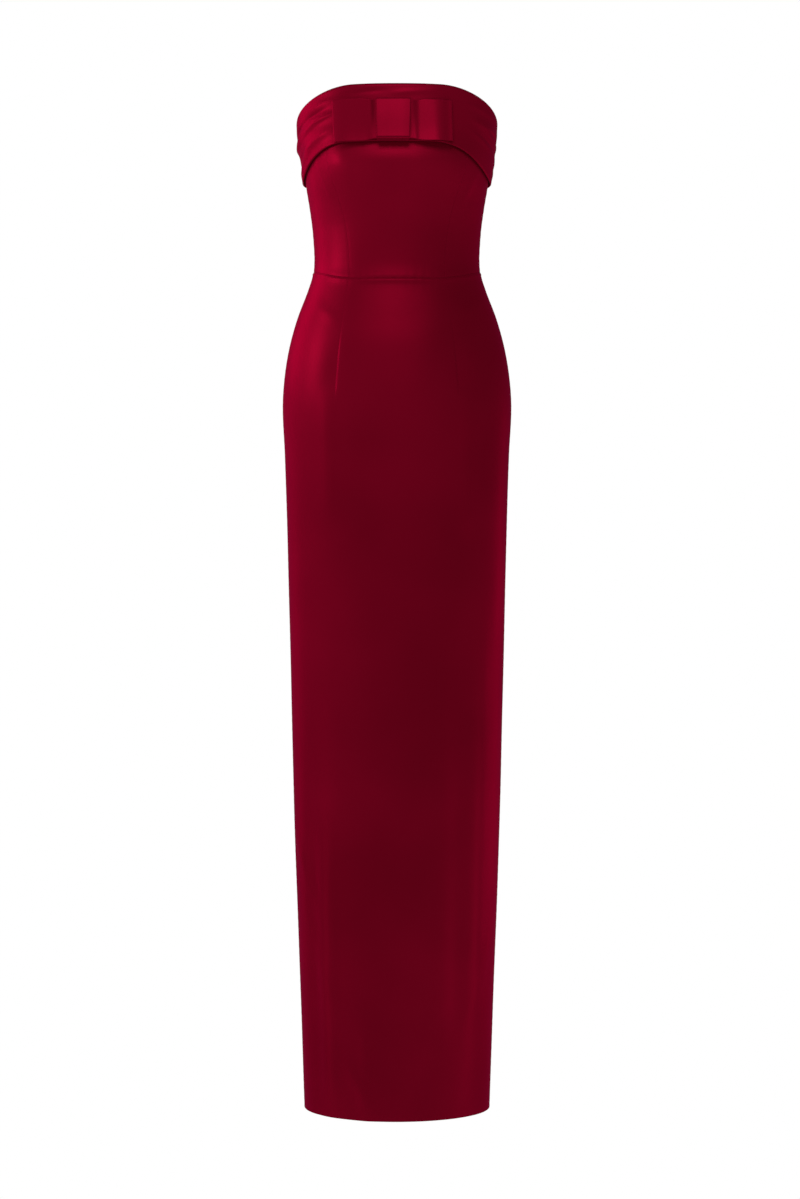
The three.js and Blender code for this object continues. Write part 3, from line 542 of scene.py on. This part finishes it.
def strip_angles(guides, steps, share, z):
    """Angles round a panel, row by row, with close columns at each guide: its edges and its darts."""
    angles = []
    for k in range(len(guides) - 1):
        left, right = guides[k](share), guides[k + 1](share)
        width = float(np.mean(np.radians(right - left) * section_radius((left + right) / 2, z)))
        stops = edge_stops(width, steps[k])
        strip = left[:, None] + (right - left)[:, None] * stops[None, :]
        angles.append(strip if k == 0 else strip[:, 1:])
    return np.concatenate(angles, axis=1)


def pucker(distance, along, phase):
    """The small gathers that stitching draws up on both sides of a seam."""
    sway = PUCKER["sway"] * np.sin(along / PUCKER["sway_length"] + phase)
    uneven = np.sin(along / PUCKER["pitch"] * 2 * math.pi + phase + sway)
    fade = np.exp(-distance / PUCKER["reach"])
    return PUCKER["rise"] * uneven * fade * smoothstep(distance, 0, PUCKER["clear"])


def panel(node, guides, steps, rows, low, high, cloth, free_edges, in_skirt):
    """One cut panel: guides give its edges and darts by share of height, low and high its ends by angle."""
    halfway = np.array([0.5])
    middle = (guides[0](halfway)[0] + guides[-1](halfway)[0]) / 2
    height = float(high(middle) - low(middle))
    share = edge_stops(height, rows)
    row_z = lerp(low(middle), high(middle), share)
    angle = strip_angles(guides, steps, share, row_z)
    z = lerp(low(angle), high(angle), share[:, None])
    radius = section_radius(angle, z)
    from_left = np.radians(angle - angle[:, [0]]) * radius
    from_right = np.radians(angle[:, [-1]] - angle) * radius
    edges = {"left": from_left, "right": from_right, "bottom": z - low(angle), "top": high(angle) - z}
    reaches = [TURNED_EDGE if edge in free_edges else SEAM_EDGE for edge in edges]
    fine = crease_rise(angle, z) + ripple(angle, z) + dart_rise(angle, z, in_skirt)
    for phase, (edge, distance) in enumerate(edges.items()):
        if edge in free_edges:
            continue
        is_waist = edge in ("bottom", "top")
        fine -= (WAIST_DIP if is_waist else SEAM_DIP) * (1 - smoothstep(distance, 0, SEAM_DIP_REACH))
        along = np.radians(angle) * radius if is_waist else z
        fine += pucker(distance, along, phase)
    if in_skirt:
        fine += WAIST_LIP["rise"] * bell(edges["top"] - WAIST_LIP["below"], WAIST_LIP["spread"])
    outer = shell_point(angle, z, 0, fine=fine)
    inner = shell_point(angle, z, -cloth, fine=fine)
    roundness = edge_roundness(edges.values(), reaches)
    piece = closed_sheet(node + "_cloth", outer, inner, roundness, SATIN)
    finish_cloth(node)


def constant(angle):
    return lambda share: np.full(np.shape(share), float(angle))


def bodice():
    """A centre front, two side fronts and two backs."""
    def princess(side):
        return lambda share: side * lerp(PRINCESS_WAIST_ANGLE, PRINCESS_NECK_ANGLE, share)

    right_dart, left_dart = constant(-BACK_DART_ANGLE), constant(BACK_DART_ANGLE)
    panels = [
        ("bodice_front_center", [princess(-1), princess(1)], [56]),
        ("bodice_side_front_left", [princess(1), constant(90)], [26]),
        ("bodice_side_front_right", [constant(-90), princess(-1)], [26]),
        ("bodice_back_left", [constant(90), left_dart, constant(180)], [26, 16]),
        ("bodice_back_right", [constant(-180), right_dart, constant(-90)], [16, 26]),
    ]
    for node, guides, steps in panels:
        panel(node, guides, steps, BODICE_ROWS, waist_z, bodice_top_z, BODICE_CLOTH, ("top",), False)


def skirt():
    """A front with two darts, and two backs that part at the slit."""
    def height(share):
        return lerp(HEM_Z, WAIST_FRONT_Z, share)

    def front_dart(side):
        return lambda share: side * front_dart_angle(height(share))

    def back_edge(side):
        def angle(share):
            z = height(share)
            open_by = np.maximum((SLIT_TOP_Z - z) / (SLIT_TOP_Z - HEM_Z), 0) * SLIT_HALF_GAP_AT_HEM
            return side * (180 - np.degrees(open_by / section_radius(180.0, z)))
        return angle

    def hem_z(angle):
        return HEM_Z + 0 * angle

    right_dart, left_dart = constant(-BACK_DART_ANGLE), constant(BACK_DART_ANGLE)
    panels = [
        ("skirt_front", [constant(-90), front_dart(-1), front_dart(1), constant(90)], [36, 52, 36]),
        ("skirt_back_left", [constant(90), left_dart, back_edge(1)], [40, 24]),
        ("skirt_back_right", [back_edge(-1), right_dart, constant(-90)], [24, 40]),
    ]
    for node, guides, steps in panels:
        panel(node, guides, steps, SKIRT_ROWS, hem_z, waist_z, SKIRT_CLOTH, ("bottom",), True)


# Cuff
def cuff_gap(angle, share):
    at_bottom = lerp(CUFF_GAP_AT_FRONT, CUFF_GAP_AT_SIDE, smoothstep(np.abs(angle), *CUFF_GAP_CLOSES))
    return lerp(at_bottom, CUFF_GAP_AT_TOP, smoothstep(share, 0, CUFF_GAP_EVEN_FROM))


def cuff_relief(angle, share):
    """The pleats, each steeper on its lower side, and the small creases between them."""
    a = np.radians(angle)
    from_front = np.abs(angle)
    fade = smoothstep(from_front, PLEAT_STARTS_AT, PLEAT_FULL_AT)
    towards_side = smoothstep(from_front, PLEAT_STARTS_AT, 90)
    rise = np.zeros(np.broadcast(angle, share).shape)
    for pleat in CUFF_PLEATS:
        drift = PLEAT_DRIFT["share"] * np.sin(a * PLEAT_DRIFT["turns"] + pleat["sway"])
        wave = np.sin(a * PLEAT_UNEVEN["turns"] + 2 * pleat["sway"])
        uneven = PLEAT_UNEVEN["even"] + PLEAT_UNEVEN["wave"] * wave
        beside = share - lerp(pleat["share_front"], pleat["share_side"], towards_side) - drift
        spread = np.where(beside > 0, pleat["above"], pleat["below"])
        rise += pleat["rise"] * uneven * fade * bell(beside, spread)
    for crease in CUFF_CREASES:
        start, end = crease["angles"]
        along = (crease["side"] * angle - start) / (end - start)
        beside = share - lerp(*crease["shares"], np.clip(along, 0, 1))
        ends = smoothstep(along, 0, CUFF_CREASE_ENDS[0]) * smoothstep(1 - along, 0, CUFF_CREASE_ENDS[1])
        rise += crease["rise"] * ends * bell(beside, crease["spread"])
    return rise


def cuff_face(angle, z, out=0):
    """A point of the cuff's outer face, moved out."""
    share = (z - cuff_bottom_z(angle)) / (neck_z(angle) - cuff_bottom_z(angle))
    lift = cuff_gap(angle, share) + CUFF_SOLID_WALL + cuff_relief(angle, share)
    return shell_point(angle, z, lift + CUFF_RIPPLE * ripple(angle, 2 * z) + out)


def cuff_roll(angle, leaf_top):
    """Rows of the two faces where the band rolls over the bodice's edge, from outside to inside."""
    end_out = cuff_gap(angle, 1) + CUFF_SOLID_WALL
    middle, half = (end_out - BODICE_SOLID_WALL) / 2, (end_out + BODICE_SOLID_WALL) / 2
    outer, inner = [], []
    for turn in np.radians(CUFF_ROLL_TURNS):
        for faces, trim in ((outer, 0), (inner, BODICE_CLOTH)):
            out = middle + math.cos(turn) * (half - trim)
            up = math.sin(turn) * (CUFF_ROLL - trim)
            faces.append(shell_point(angle, leaf_top + up, out))
    return outer, inner


def cuff_piece(node, start, end, steps):
    """One piece of the band: a leaf that hangs free, and the roll, blended into the leaf's creases."""
    width = math.radians(end - start) * SECTIONS[0]["half"]
    angle = lerp(start, end, edge_stops(width, steps))[None, :]
    leaf_top = neck_z(angle) - CUFF_ROLL
    share = edge_stops(CUFF_LEAF_DEPTH, CUFF_LEAF_ROWS)[:-1, None]
    z = lerp(cuff_bottom_z(angle), leaf_top, share)
    outer_roll, inner_roll = cuff_roll(angle, leaf_top)
    outer = np.concatenate([cuff_face(angle + 0 * z, z), *outer_roll])
    inner = np.concatenate([shell_point(angle + 0 * z, z, cuff_gap(angle, share)), *inner_roll])
    gap = cuff_face(angle, leaf_top)[0] - outer[len(share)]
    fade = np.zeros(len(outer))
    fade[len(share) : len(share) + CUFF_BLEND_ROWS] = np.linspace(1, 0, CUFF_BLEND_ROWS)
    outer = outer + gap[None, :, :] * fade[:, None, None]
    reaches = (CUFF_FREE_EDGE, TURNED_EDGE, SEAM_EDGE, SEAM_EDGE)
    roundness = edge_roundness(edge_distances(outer), reaches)
    piece = closed_sheet(node + "_cloth", outer, inner, roundness, SATIN)
    finish_cloth(node)


def cuff():
    """A deep band folded over the neckline, in a front and two backs."""
    for row in CUFF_PIECES:
        cuff_piece(**row)


# Bow
def bow_angle(side, reach, z):
    """The angle at a distance round the cuff from the bow's middle."""
    angle = np.degrees(np.arcsin(-BOW_X / cuff_face(np.zeros_like(z), z)[..., 1]))
    walk_steps = 6
    for _ in range(walk_steps):
        here = cuff_face(angle, z)
        angle = angle + side * np.degrees(reach / walk_steps / np.hypot(here[..., 0], here[..., 1]))
    return angle


def bow_point(side, reach, z, out):
    return cuff_face(bow_angle(side, reach, z), z, out)


def loop_leaf_out(reach, reach_end):
    """How far the band's back leaf stands off the cuff, and its front leaf off the back one."""
    knot_edge = KNOT_HALF_WIDTH + KNOT_CLEARANCE
    under_knot = BOW_LIFT + BOW_SOLID_WALL * 1.5 + SEAM_GAP
    settled = smoothstep(reach, knot_edge, knot_edge + LOOP_SETTLES_OVER)
    opened = smoothstep(reach, knot_edge, reach_end * LOOP_FULL_AT)
    back = lerp(under_knot, BOW_LIFT + BOW_SOLID_WALL / 2, settled)
    return back, lerp(BOW_SOLID_WALL + SEAM_GAP, LOOP_HOLLOW, opened)


def loop_line(reach_end):
    """The loop's line seen from above, back leaf first, and each place's share in the front leaf."""
    turn = loop_leaf_out(reach_end, reach_end)[1] / 2
    last = reach_end - turn - BOW_SOLID_WALL / 2
    reach = np.linspace(SEAM_GAP, last, LOOP_STEPS)
    back, spread = loop_leaf_out(reach, reach_end)
    around = np.linspace(0, math.pi, LOOP_FOLD_STEPS)[1:-1]
    fold_out = back[-1] + (1 - np.cos(around)) * turn
    line_reach = np.concatenate([reach, last + np.sin(around) * turn, reach[::-1]])
    line_out = np.concatenate([back, fold_out, (back + spread)[::-1]])
    front = np.concatenate([np.zeros(len(reach)), np.linspace(0, 1, len(around)), np.ones(len(reach))])
    return line_reach, line_out, front


def loop_wave(side, reach, share):
    """How far a front leaf stands out beyond its line, by its waves, lift and tilt."""
    wave = np.zeros(np.broadcast(reach, share).shape)
    for row in LOOP_WAVES:
        if row["side"] == side:
            along = bell(reach - row["reach"], row["spread"])
            wave += row["rise"] * lerp(1, row["top_share"], share) * along
    return wave + (LOOP_LIFT[side] + LOOP_TILT[side] * share)


def bow_loop(node, side, reach_end):
    """A flat loop: out along the back leaf, round the fold, and back along the front leaf to the knot."""
    line_reach, line_out, front = loop_line(reach_end)
    tangent = np.gradient(np.stack([line_reach, line_out]), axis=1)
    normal = np.stack([tangent[1], -tangent[0]]) / np.hypot(*tangent)
    share = edge_stops(LOOP_DEPTH, LOOP_ROWS)[:, None]
    knot_edge = KNOT_HALF_WIDTH + KNOT_CLEARANCE
    faces = []
    for shift in (BOW_CLOTH / 2, -BOW_CLOTH / 2):
        reach = line_reach + normal[0] * shift
        out = (line_out + normal[1] * shift)[None, :]
        pinch = BOW_PINCH * (1 - smoothstep(reach, knot_edge, BOW_PINCH_REACH))[None, :]
        z = lerp(CUFF_BOTTOM_Z + pinch, BOW_TOP_Z - pinch, share)
        clear = smoothstep(reach, knot_edge, KNOT_HALF_WIDTH + LOOP_WAVES_FULL_FROM)[None, :]
        wave = loop_wave(side, reach, share) * front * clear
        faces.append(bow_point(side, np.broadcast_to(reach, z.shape), z, out + wave))
    inner, outer = faces
    roundness = edge_roundness(edge_distances(outer), [BOW_CLOTH] * 4)
    piece = closed_sheet(node + "_cloth", outer, inner, roundness, SATIN)
    finish_cloth(node)


def rounded_ring(low, high, back, front, corner):
    """Places round a rectangle with rounded corners, as height and distance out, from low front upwards."""
    places = [(z, front) for z in np.linspace(low + corner, high - corner, KNOT_FRONT_ROWS)]
    centres = [(high - corner, front - corner, 0), (high - corner, back + corner, 1)]
    centres += [(low + corner, back + corner, 2), (low + corner, front - corner, 3)]
    for z, out, quarter in centres:
        for turn in np.radians(KNOT_CORNER_TURNS) + quarter * math.pi / 2:
            places.append((z + corner * math.sin(turn), out + corner * math.cos(turn)))
        if quarter == 1:
            down = np.linspace(high - corner, low + corner, KNOT_BACK_ROWS)[1:-1]
            places += [(z, back) for z in down]
    return np.array(places)


def bow_knot():
    """A short band wrapped round the middle of the bow, crowned at the front."""
    depth = BOW_SOLID_WALL * 4 + SEAM_GAP * 3
    faces = []
    for inset in (0, BOW_SOLID_WALL):
        ends = (KNOT_BOTTOM_Z + inset, KNOT_TOP_Z - inset)
        ring = rounded_ring(*ends, BOW_LIFT + inset, BOW_LIFT + depth - inset, KNOT_CORNER * (1 - inset / 2))
        height = (ring[:, 0] - KNOT_BOTTOM_Z) / (KNOT_TOP_Z - KNOT_BOTTOM_Z)
        is_front = smoothstep(ring[:, 1], BOW_LIFT + depth / 2, BOW_LIFT + depth - inset)
        height = np.clip(height, 0, 1)
        crown = is_front * (KNOT_CROWN * np.sin(math.pi * height) + KNOT_TILT * (1 - height))
        share = edge_stops(2 * KNOT_HALF_WIDTH, KNOT_COLUMNS)[:, None]
        half = (KNOT_HALF_WIDTH - KNOT_TAPER * (1 - height))[None, :]
        reach = lerp(-half, half, share)
        wave = np.sin(share * KNOT_WAVE["turns"] + KNOT_WAVE["shift"])
        soft = KNOT_WAVE["rise"] * wave * is_front[None, :]
        z = np.broadcast_to(ring[:, 0][None, :], reach.shape)
        faces.append(bow_point(1, reach, z, (ring[:, 1] + crown)[None, :] + soft))
    outer, inner = (np.concatenate([face, face[:, :1]], axis=1) for face in faces)
    across = grid_lengths(outer, 0)
    roundness = edge_roundness([across, across[[-1]] - across], (KNOT_EDGE, KNOT_EDGE))
    piece = ring_sheet("bow_knot_cloth", outer, inner, roundness, SATIN)
    finish_cloth("bow_knot")


# Zip
def zip_line(z, across, depth):
    """A point inside the back: across is measured from the seam, and depth inwards from the bodice."""
    angle = 180 + np.degrees(across / section_radius(180.0, z))
    return shell_point(angle, z, -BODICE_SOLID_WALL - ZIP_TAPE_GAP - depth)


def zip_tape():
    """The closed tape inside the back seam, with its coil and its two rows of stitches."""
    top = float(bodice_top_z(180.0)) - ZIP_BELOW_EDGE
    z = lerp(ZIP_BOTTOM_Z, top, edge_stops(top - ZIP_BOTTOM_Z, ZIP_ROWS))[:, None]
    across = lerp(-ZIP_HALF_WIDTH, ZIP_HALF_WIDTH, edge_stops(2 * ZIP_HALF_WIDTH, ZIP_COLUMNS))[None, :]
    z, across = np.broadcast_arrays(z, across)
    outer, inner = zip_line(z, across, 0), zip_line(z, across, ZIP_TAPE_THICK)
    roundness = edge_roundness(edge_distances(outer), [ZIP_TAPE_THICK] * 4)
    tape = closed_sheet("zip_tape_cloth", outer, inner, roundness, TAPE)
    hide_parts("zip_tape")
    coil = zip_coil(top)
    stitches = zip_stitches(top)


def tube_rings(centres, side, up, radius):
    """Rings of points round a line of centres."""
    turns = np.arange(TUBE_SIDES) * 2 * math.pi / TUBE_SIDES
    return centres[:, None, :] + radius * (
        np.cos(turns)[None, :, None] * side[:, None, :] + np.sin(turns)[None, :, None] * up[:, None, :]
    )


def tube_quads(rings, start):
    """The sides of a tube, and an end cap of two quads at each end of its six-sided rings."""
    quads = []
    for i in range(rings - 1):
        for j in range(TUBE_SIDES):
            a = start + i * TUBE_SIDES + j
            b = start + i * TUBE_SIDES + (j + 1) % TUBE_SIDES
            quads.append((a, b, b + TUBE_SIDES, a + TUBE_SIDES))
    for ring, order in ((0, -1), (rings - 1, 1)):
        base = start + ring * TUBE_SIDES
        quads.append((base, base + 1, base + 2, base + 3)[::order])
        quads.append((base, base + 3, base + 4, base + 5)[::order])
    return quads


def joined_tubes(name, tubes, radius, material):
    """One mesh of many short tubes, each given by its line of centres."""
    points, quads = [], []
    start = 0
    for centres in tubes:
        along = np.gradient(centres, axis=0)
        along /= np.linalg.norm(along, axis=1, keepdims=True)
        side = np.cross(along, OFF_AXIS)
        side /= np.linalg.norm(side, axis=1, keepdims=True)
        rings = tube_rings(centres, side, np.cross(along, side), radius)
        points.append(rings.reshape(-1, 3))
        quads += tube_quads(len(centres), start)
        start += rings.shape[0] * rings.shape[1]
    piece = add_mesh(name, np.concatenate(points), np.array(quads), material)
    return piece


def zip_coil(top):
    """The coil: a run of small half loops over the middle of the tape."""
    tubes = []
    count = int((top - ZIP_BOTTOM_Z - 2 * ZIP_END) / COIL_PITCH)
    turn = np.linspace(0, math.pi, COIL_STEPS)
    for i in range(count):
        z = ZIP_BOTTOM_Z + ZIP_END + (i + 0.5) * COIL_PITCH + COIL_PITCH * COIL_SLANT * np.cos(turn)
        across = COIL_REACH * COIL_RADIUS * np.cos(turn)
        tubes.append(zip_line(z, across, ZIP_TAPE_THICK + COIL_LIFT + COIL_RADIUS * np.sin(turn)))
    return joined_tubes("zip_coil", tubes, COIL_WIRE, COIL)


def zip_stitches(top):
    """Two rows of stitches that hold the tape to the seam."""
    tubes = []
    count = int((top - ZIP_BOTTOM_Z - 2 * ZIP_END) / STITCH_PITCH)
    depth = ZIP_TAPE_THICK + np.array(STITCH_LIFTS)
    for across in (-STITCH_AT * ZIP_HALF_WIDTH, STITCH_AT * ZIP_HALF_WIDTH):
        for i in range(count):
            z = ZIP_BOTTOM_Z + ZIP_END + i * STITCH_PITCH + np.linspace(0, STITCH_LENGTH, len(depth))
            tubes.append(zip_line(z, np.full(len(depth), across), depth))
    return joined_tubes("zip_stitches", tubes, STITCH_RADIUS, THREAD)


# Materials
def node_material(name):
    material = bpy.data.materials.new(name)
    material.use_nodes = True
    tree = material.node_tree
    return material, tree, tree.nodes["Principled BSDF"]


def noise(tree, vector, scale, detail, stretch=(1, 1, 1)):
    """A noise texture's value, stretched along each axis."""
    mapping = tree.nodes.new("ShaderNodeMapping")
    mapping.inputs["Scale"].default_value = stretch
    texture = tree.nodes.new("ShaderNodeTexNoise")
    texture.inputs["Scale"].default_value = scale
    texture.inputs["Detail"].default_value = detail
    tree.links.new(vector, mapping.inputs["Vector"])
    tree.links.new(mapping.outputs["Vector"], texture.inputs["Vector"])
    return texture.outputs["Fac"]


def ramp(tree, value, stops):
    """A colour from a value, by two positions and their colours."""
    node = tree.nodes.new("ShaderNodeValToRGB")
    for element, (position, color) in zip(node.color_ramp.elements, stops):
        element.position = position
        element.color = color
    tree.links.new(value, node.inputs["Fac"])
    return node.outputs["Color"]


def spread_value(tree, value, low, high):
    node = tree.nodes.new("ShaderNodeMapRange")
    node.inputs["To Min"].default_value = low
    node.inputs["To Max"].default_value = high
    tree.links.new(value, node.inputs["Value"])
    return node.outputs["Result"]


def bump(tree, height, strength, distance, before=None):
    node = tree.nodes.new("ShaderNodeBump")
    node.inputs["Strength"].default_value = strength
    node.inputs["Distance"].default_value = distance
    tree.links.new(height, node.inputs["Height"])
    if before is not None:
        tree.links.new(before, node.inputs["Normal"])
    return node.outputs["Normal"]


def satin_material():
    """Heavy satin: a deep red with a coloured sheen, fine threads across it and slight unevenness."""
    material, tree, shader = node_material("satin")
    coordinates = tree.nodes.new("ShaderNodeTexCoord")
    cloud = noise(tree, coordinates.outputs["Object"], scale=5, detail=2)
    dark, light = (0.26, 0.0015, 0.018, 1), (0.31, 0.002, 0.022, 1)
    tree.links.new(ramp(tree, cloud, [(0.35, dark), (0.65, light)]), shader.inputs["Base Color"])
    threads = noise(tree, coordinates.outputs["UV"], scale=1, detail=2, stretch=(160, 5200, 1))
    floats = noise(tree, coordinates.outputs["UV"], scale=1, detail=1, stretch=(2600, 900, 1))
    tree.links.new(spread_value(tree, threads, low=0.4, high=0.48), shader.inputs["Roughness"])
    fine = bump(tree, threads, strength=0.12, distance=0.0001)
    relief = bump(tree, floats, strength=0.08, distance=0.0001, before=fine)
    tree.links.new(relief, shader.inputs["Normal"])
    shader.inputs["Metallic"].default_value = 0.42
    shader.inputs["Specular IOR Level"].default_value = 0
    shader.inputs["Specular Tint"].default_value = (1, 0.35, 0.52, 1)
    shader.inputs["Sheen Weight"].default_value = 0.12
    shader.inputs["Sheen Roughness"].default_value = 0.4
    shader.inputs["Sheen Tint"].default_value = (1, 0.03, 0.25, 1)
    return material


def woven_material(name, color, roughness):
    """Plain narrow weave, for the zip's tape, coil and thread."""
    material, tree, shader = node_material(name)
    coordinates = tree.nodes.new("ShaderNodeTexCoord")
    weave = noise(tree, coordinates.outputs["Object"], scale=1400, detail=1, stretch=(1, 1, 0.35))
    dark = (*(part * 0.75 for part in color), 1)
    tree.links.new(ramp(tree, weave, [(0.3, dark), (0.7, (*color, 1))]), shader.inputs["Base Color"])
    tree.links.new(bump(tree, weave, strength=0.3, distance=0.0002), shader.inputs["Normal"])
    shader.inputs["Roughness"].default_value = roughness
    return material


def enamel_material():
    """The slider and pull tab: enamelled metal, rubbed a little."""
    material, tree, shader = node_material("zip_enamel")
    coordinates = tree.nodes.new("ShaderNodeTexCoord")
    wear = noise(tree, coordinates.outputs["Object"], scale=420, detail=3)
    colors = [(0.45, (0.12, 0.004, 0.016, 1)), (0.7, (0.19, 0.02, 0.04, 1))]
    tree.links.new(ramp(tree, wear, colors), shader.inputs["Base Color"])
    tree.links.new(spread_value(tree, wear, low=0.25, high=0.42), shader.inputs["Roughness"])
    shader.inputs["Metallic"].default_value = 0.7
    return material


def finish_zip_metal():
    material = enamel_material()
    for node in ("zip_slider", "zip_pull_tab"):
        piece = bpy.data.objects[node]
        for place in piece.material_slots:
            place.material = material


# Camera, floor and lights
def add_camera():
    data = bpy.data.cameras.new("camera")
    data.lens = CAMERA_LENS
    data.sensor_width = 36
    data.clip_end = 100
    camera = bpy.data.objects.new("camera", data)
    camera.location = CAMERA_AT
    camera.rotation_euler = (math.radians(90), 0, 0)
    bpy.context.scene.collection.objects.link(camera)
    bpy.context.scene.camera = camera


def add_floor():
    """A plain pale floor, below the hem because the wearer holds the dress up."""
    mesh = bpy.data.meshes.new("floor")
    turns = np.linspace(0, 2 * math.pi, FLOOR_SIDES + 1)[:-1]
    z = HEM_Z * MM - FLOOR_DROP
    rim = [(FLOOR_RADIUS * math.cos(turn), FLOOR_RADIUS * math.sin(turn), z) for turn in turns]
    mesh.from_pydata(rim, [], [tuple(range(len(rim)))])
    material, _, shader = node_material("floor")
    shader.inputs["Base Color"].default_value = (0.9, 0.9, 0.9, 1)
    shader.inputs["Roughness"].default_value = 0.9
    shader.inputs["Emission Color"].default_value = (1, 1, 1, 1)
    shader.inputs["Emission Strength"].default_value = 0.25
    mesh.materials.append(material)
    floor = bpy.data.objects.new("floor", mesh)
    bpy.context.scene.collection.objects.link(floor)


def add_softbox(name, at, to, size, power):
    data = bpy.data.lights.new(name, "AREA")
    data.shape = "RECTANGLE"
    data.size, data.size_y = size
    data.energy = power
    light = bpy.data.objects.new(name, data)
    light.location = at
    direction = np.array(to) - np.array(at)
    light.rotation_euler = (
        math.atan2(math.hypot(direction[0], direction[1]), -direction[2]),
        0,
        math.atan2(direction[1], direction[0]) - math.pi / 2,
    )
    bpy.context.scene.collection.objects.link(light)


def add_lights():
    for name, light in LIGHTS.items():
        add_softbox(name, **light)


def add_world():
    """White to the camera, and a dim light to everything else, a little brighter from below."""
    world = bpy.data.worlds.new("studio")
    world.use_nodes = True
    tree = world.node_tree
    tree.nodes.clear()
    seen, light = tree.nodes.new("ShaderNodeBackground"), tree.nodes.new("ShaderNodeBackground")
    seen.inputs["Color"].default_value = (1, 1, 1, 1)
    seen.inputs["Strength"].default_value = 1
    light.inputs["Color"].default_value = (1, 1, 1, 1)
    direction = tree.nodes.new("ShaderNodeTexCoord")
    height = tree.nodes.new("ShaderNodeSeparateXYZ")
    level = tree.nodes.new("ShaderNodeMapRange")
    level.inputs["From Min"].default_value = -WORLD_TURNS_AT
    level.inputs["From Max"].default_value = WORLD_TURNS_AT
    level.inputs["To Min"].default_value = WORLD_BELOW
    level.inputs["To Max"].default_value = WORLD_ABOVE
    tree.links.new(direction.outputs["Generated"], height.inputs["Vector"])
    tree.links.new(height.outputs["Z"], level.inputs["Value"])
    tree.links.new(level.outputs["Result"], light.inputs["Strength"])
    path = tree.nodes.new("ShaderNodeLightPath")
    mix = tree.nodes.new("ShaderNodeMixShader")
    output = tree.nodes.new("ShaderNodeOutputWorld")
    tree.links.new(path.outputs["Is Camera Ray"], mix.inputs[0])
    tree.links.new(light.outputs[0], mix.inputs[1])
    tree.links.new(seen.outputs[0], mix.inputs[2])
    tree.links.new(mix.outputs[0], output.inputs["Surface"])
    bpy.context.scene.world = world


add_camera()
add_floor()
add_lights()
add_world()
bpy.context.scene.view_settings.view_transform = "Standard"

SATIN = satin_material()
TAPE = woven_material("zip_tape", color=(0.1, 0.004, 0.014), roughness=0.8)
COIL = woven_material("zip_coil", color=(0.13, 0.006, 0.02), roughness=0.4)
THREAD = woven_material("thread", color=(0.16, 0.006, 0.024), roughness=0.6)

bodice()
skirt()
cuff()
bow_loop("bow_loop_left", 1, BOW_LEFT_REACH)
bow_loop("bow_loop_right", -1, BOW_RIGHT_REACH)
bow_knot()
zip_tape()
finish_zip_metal()
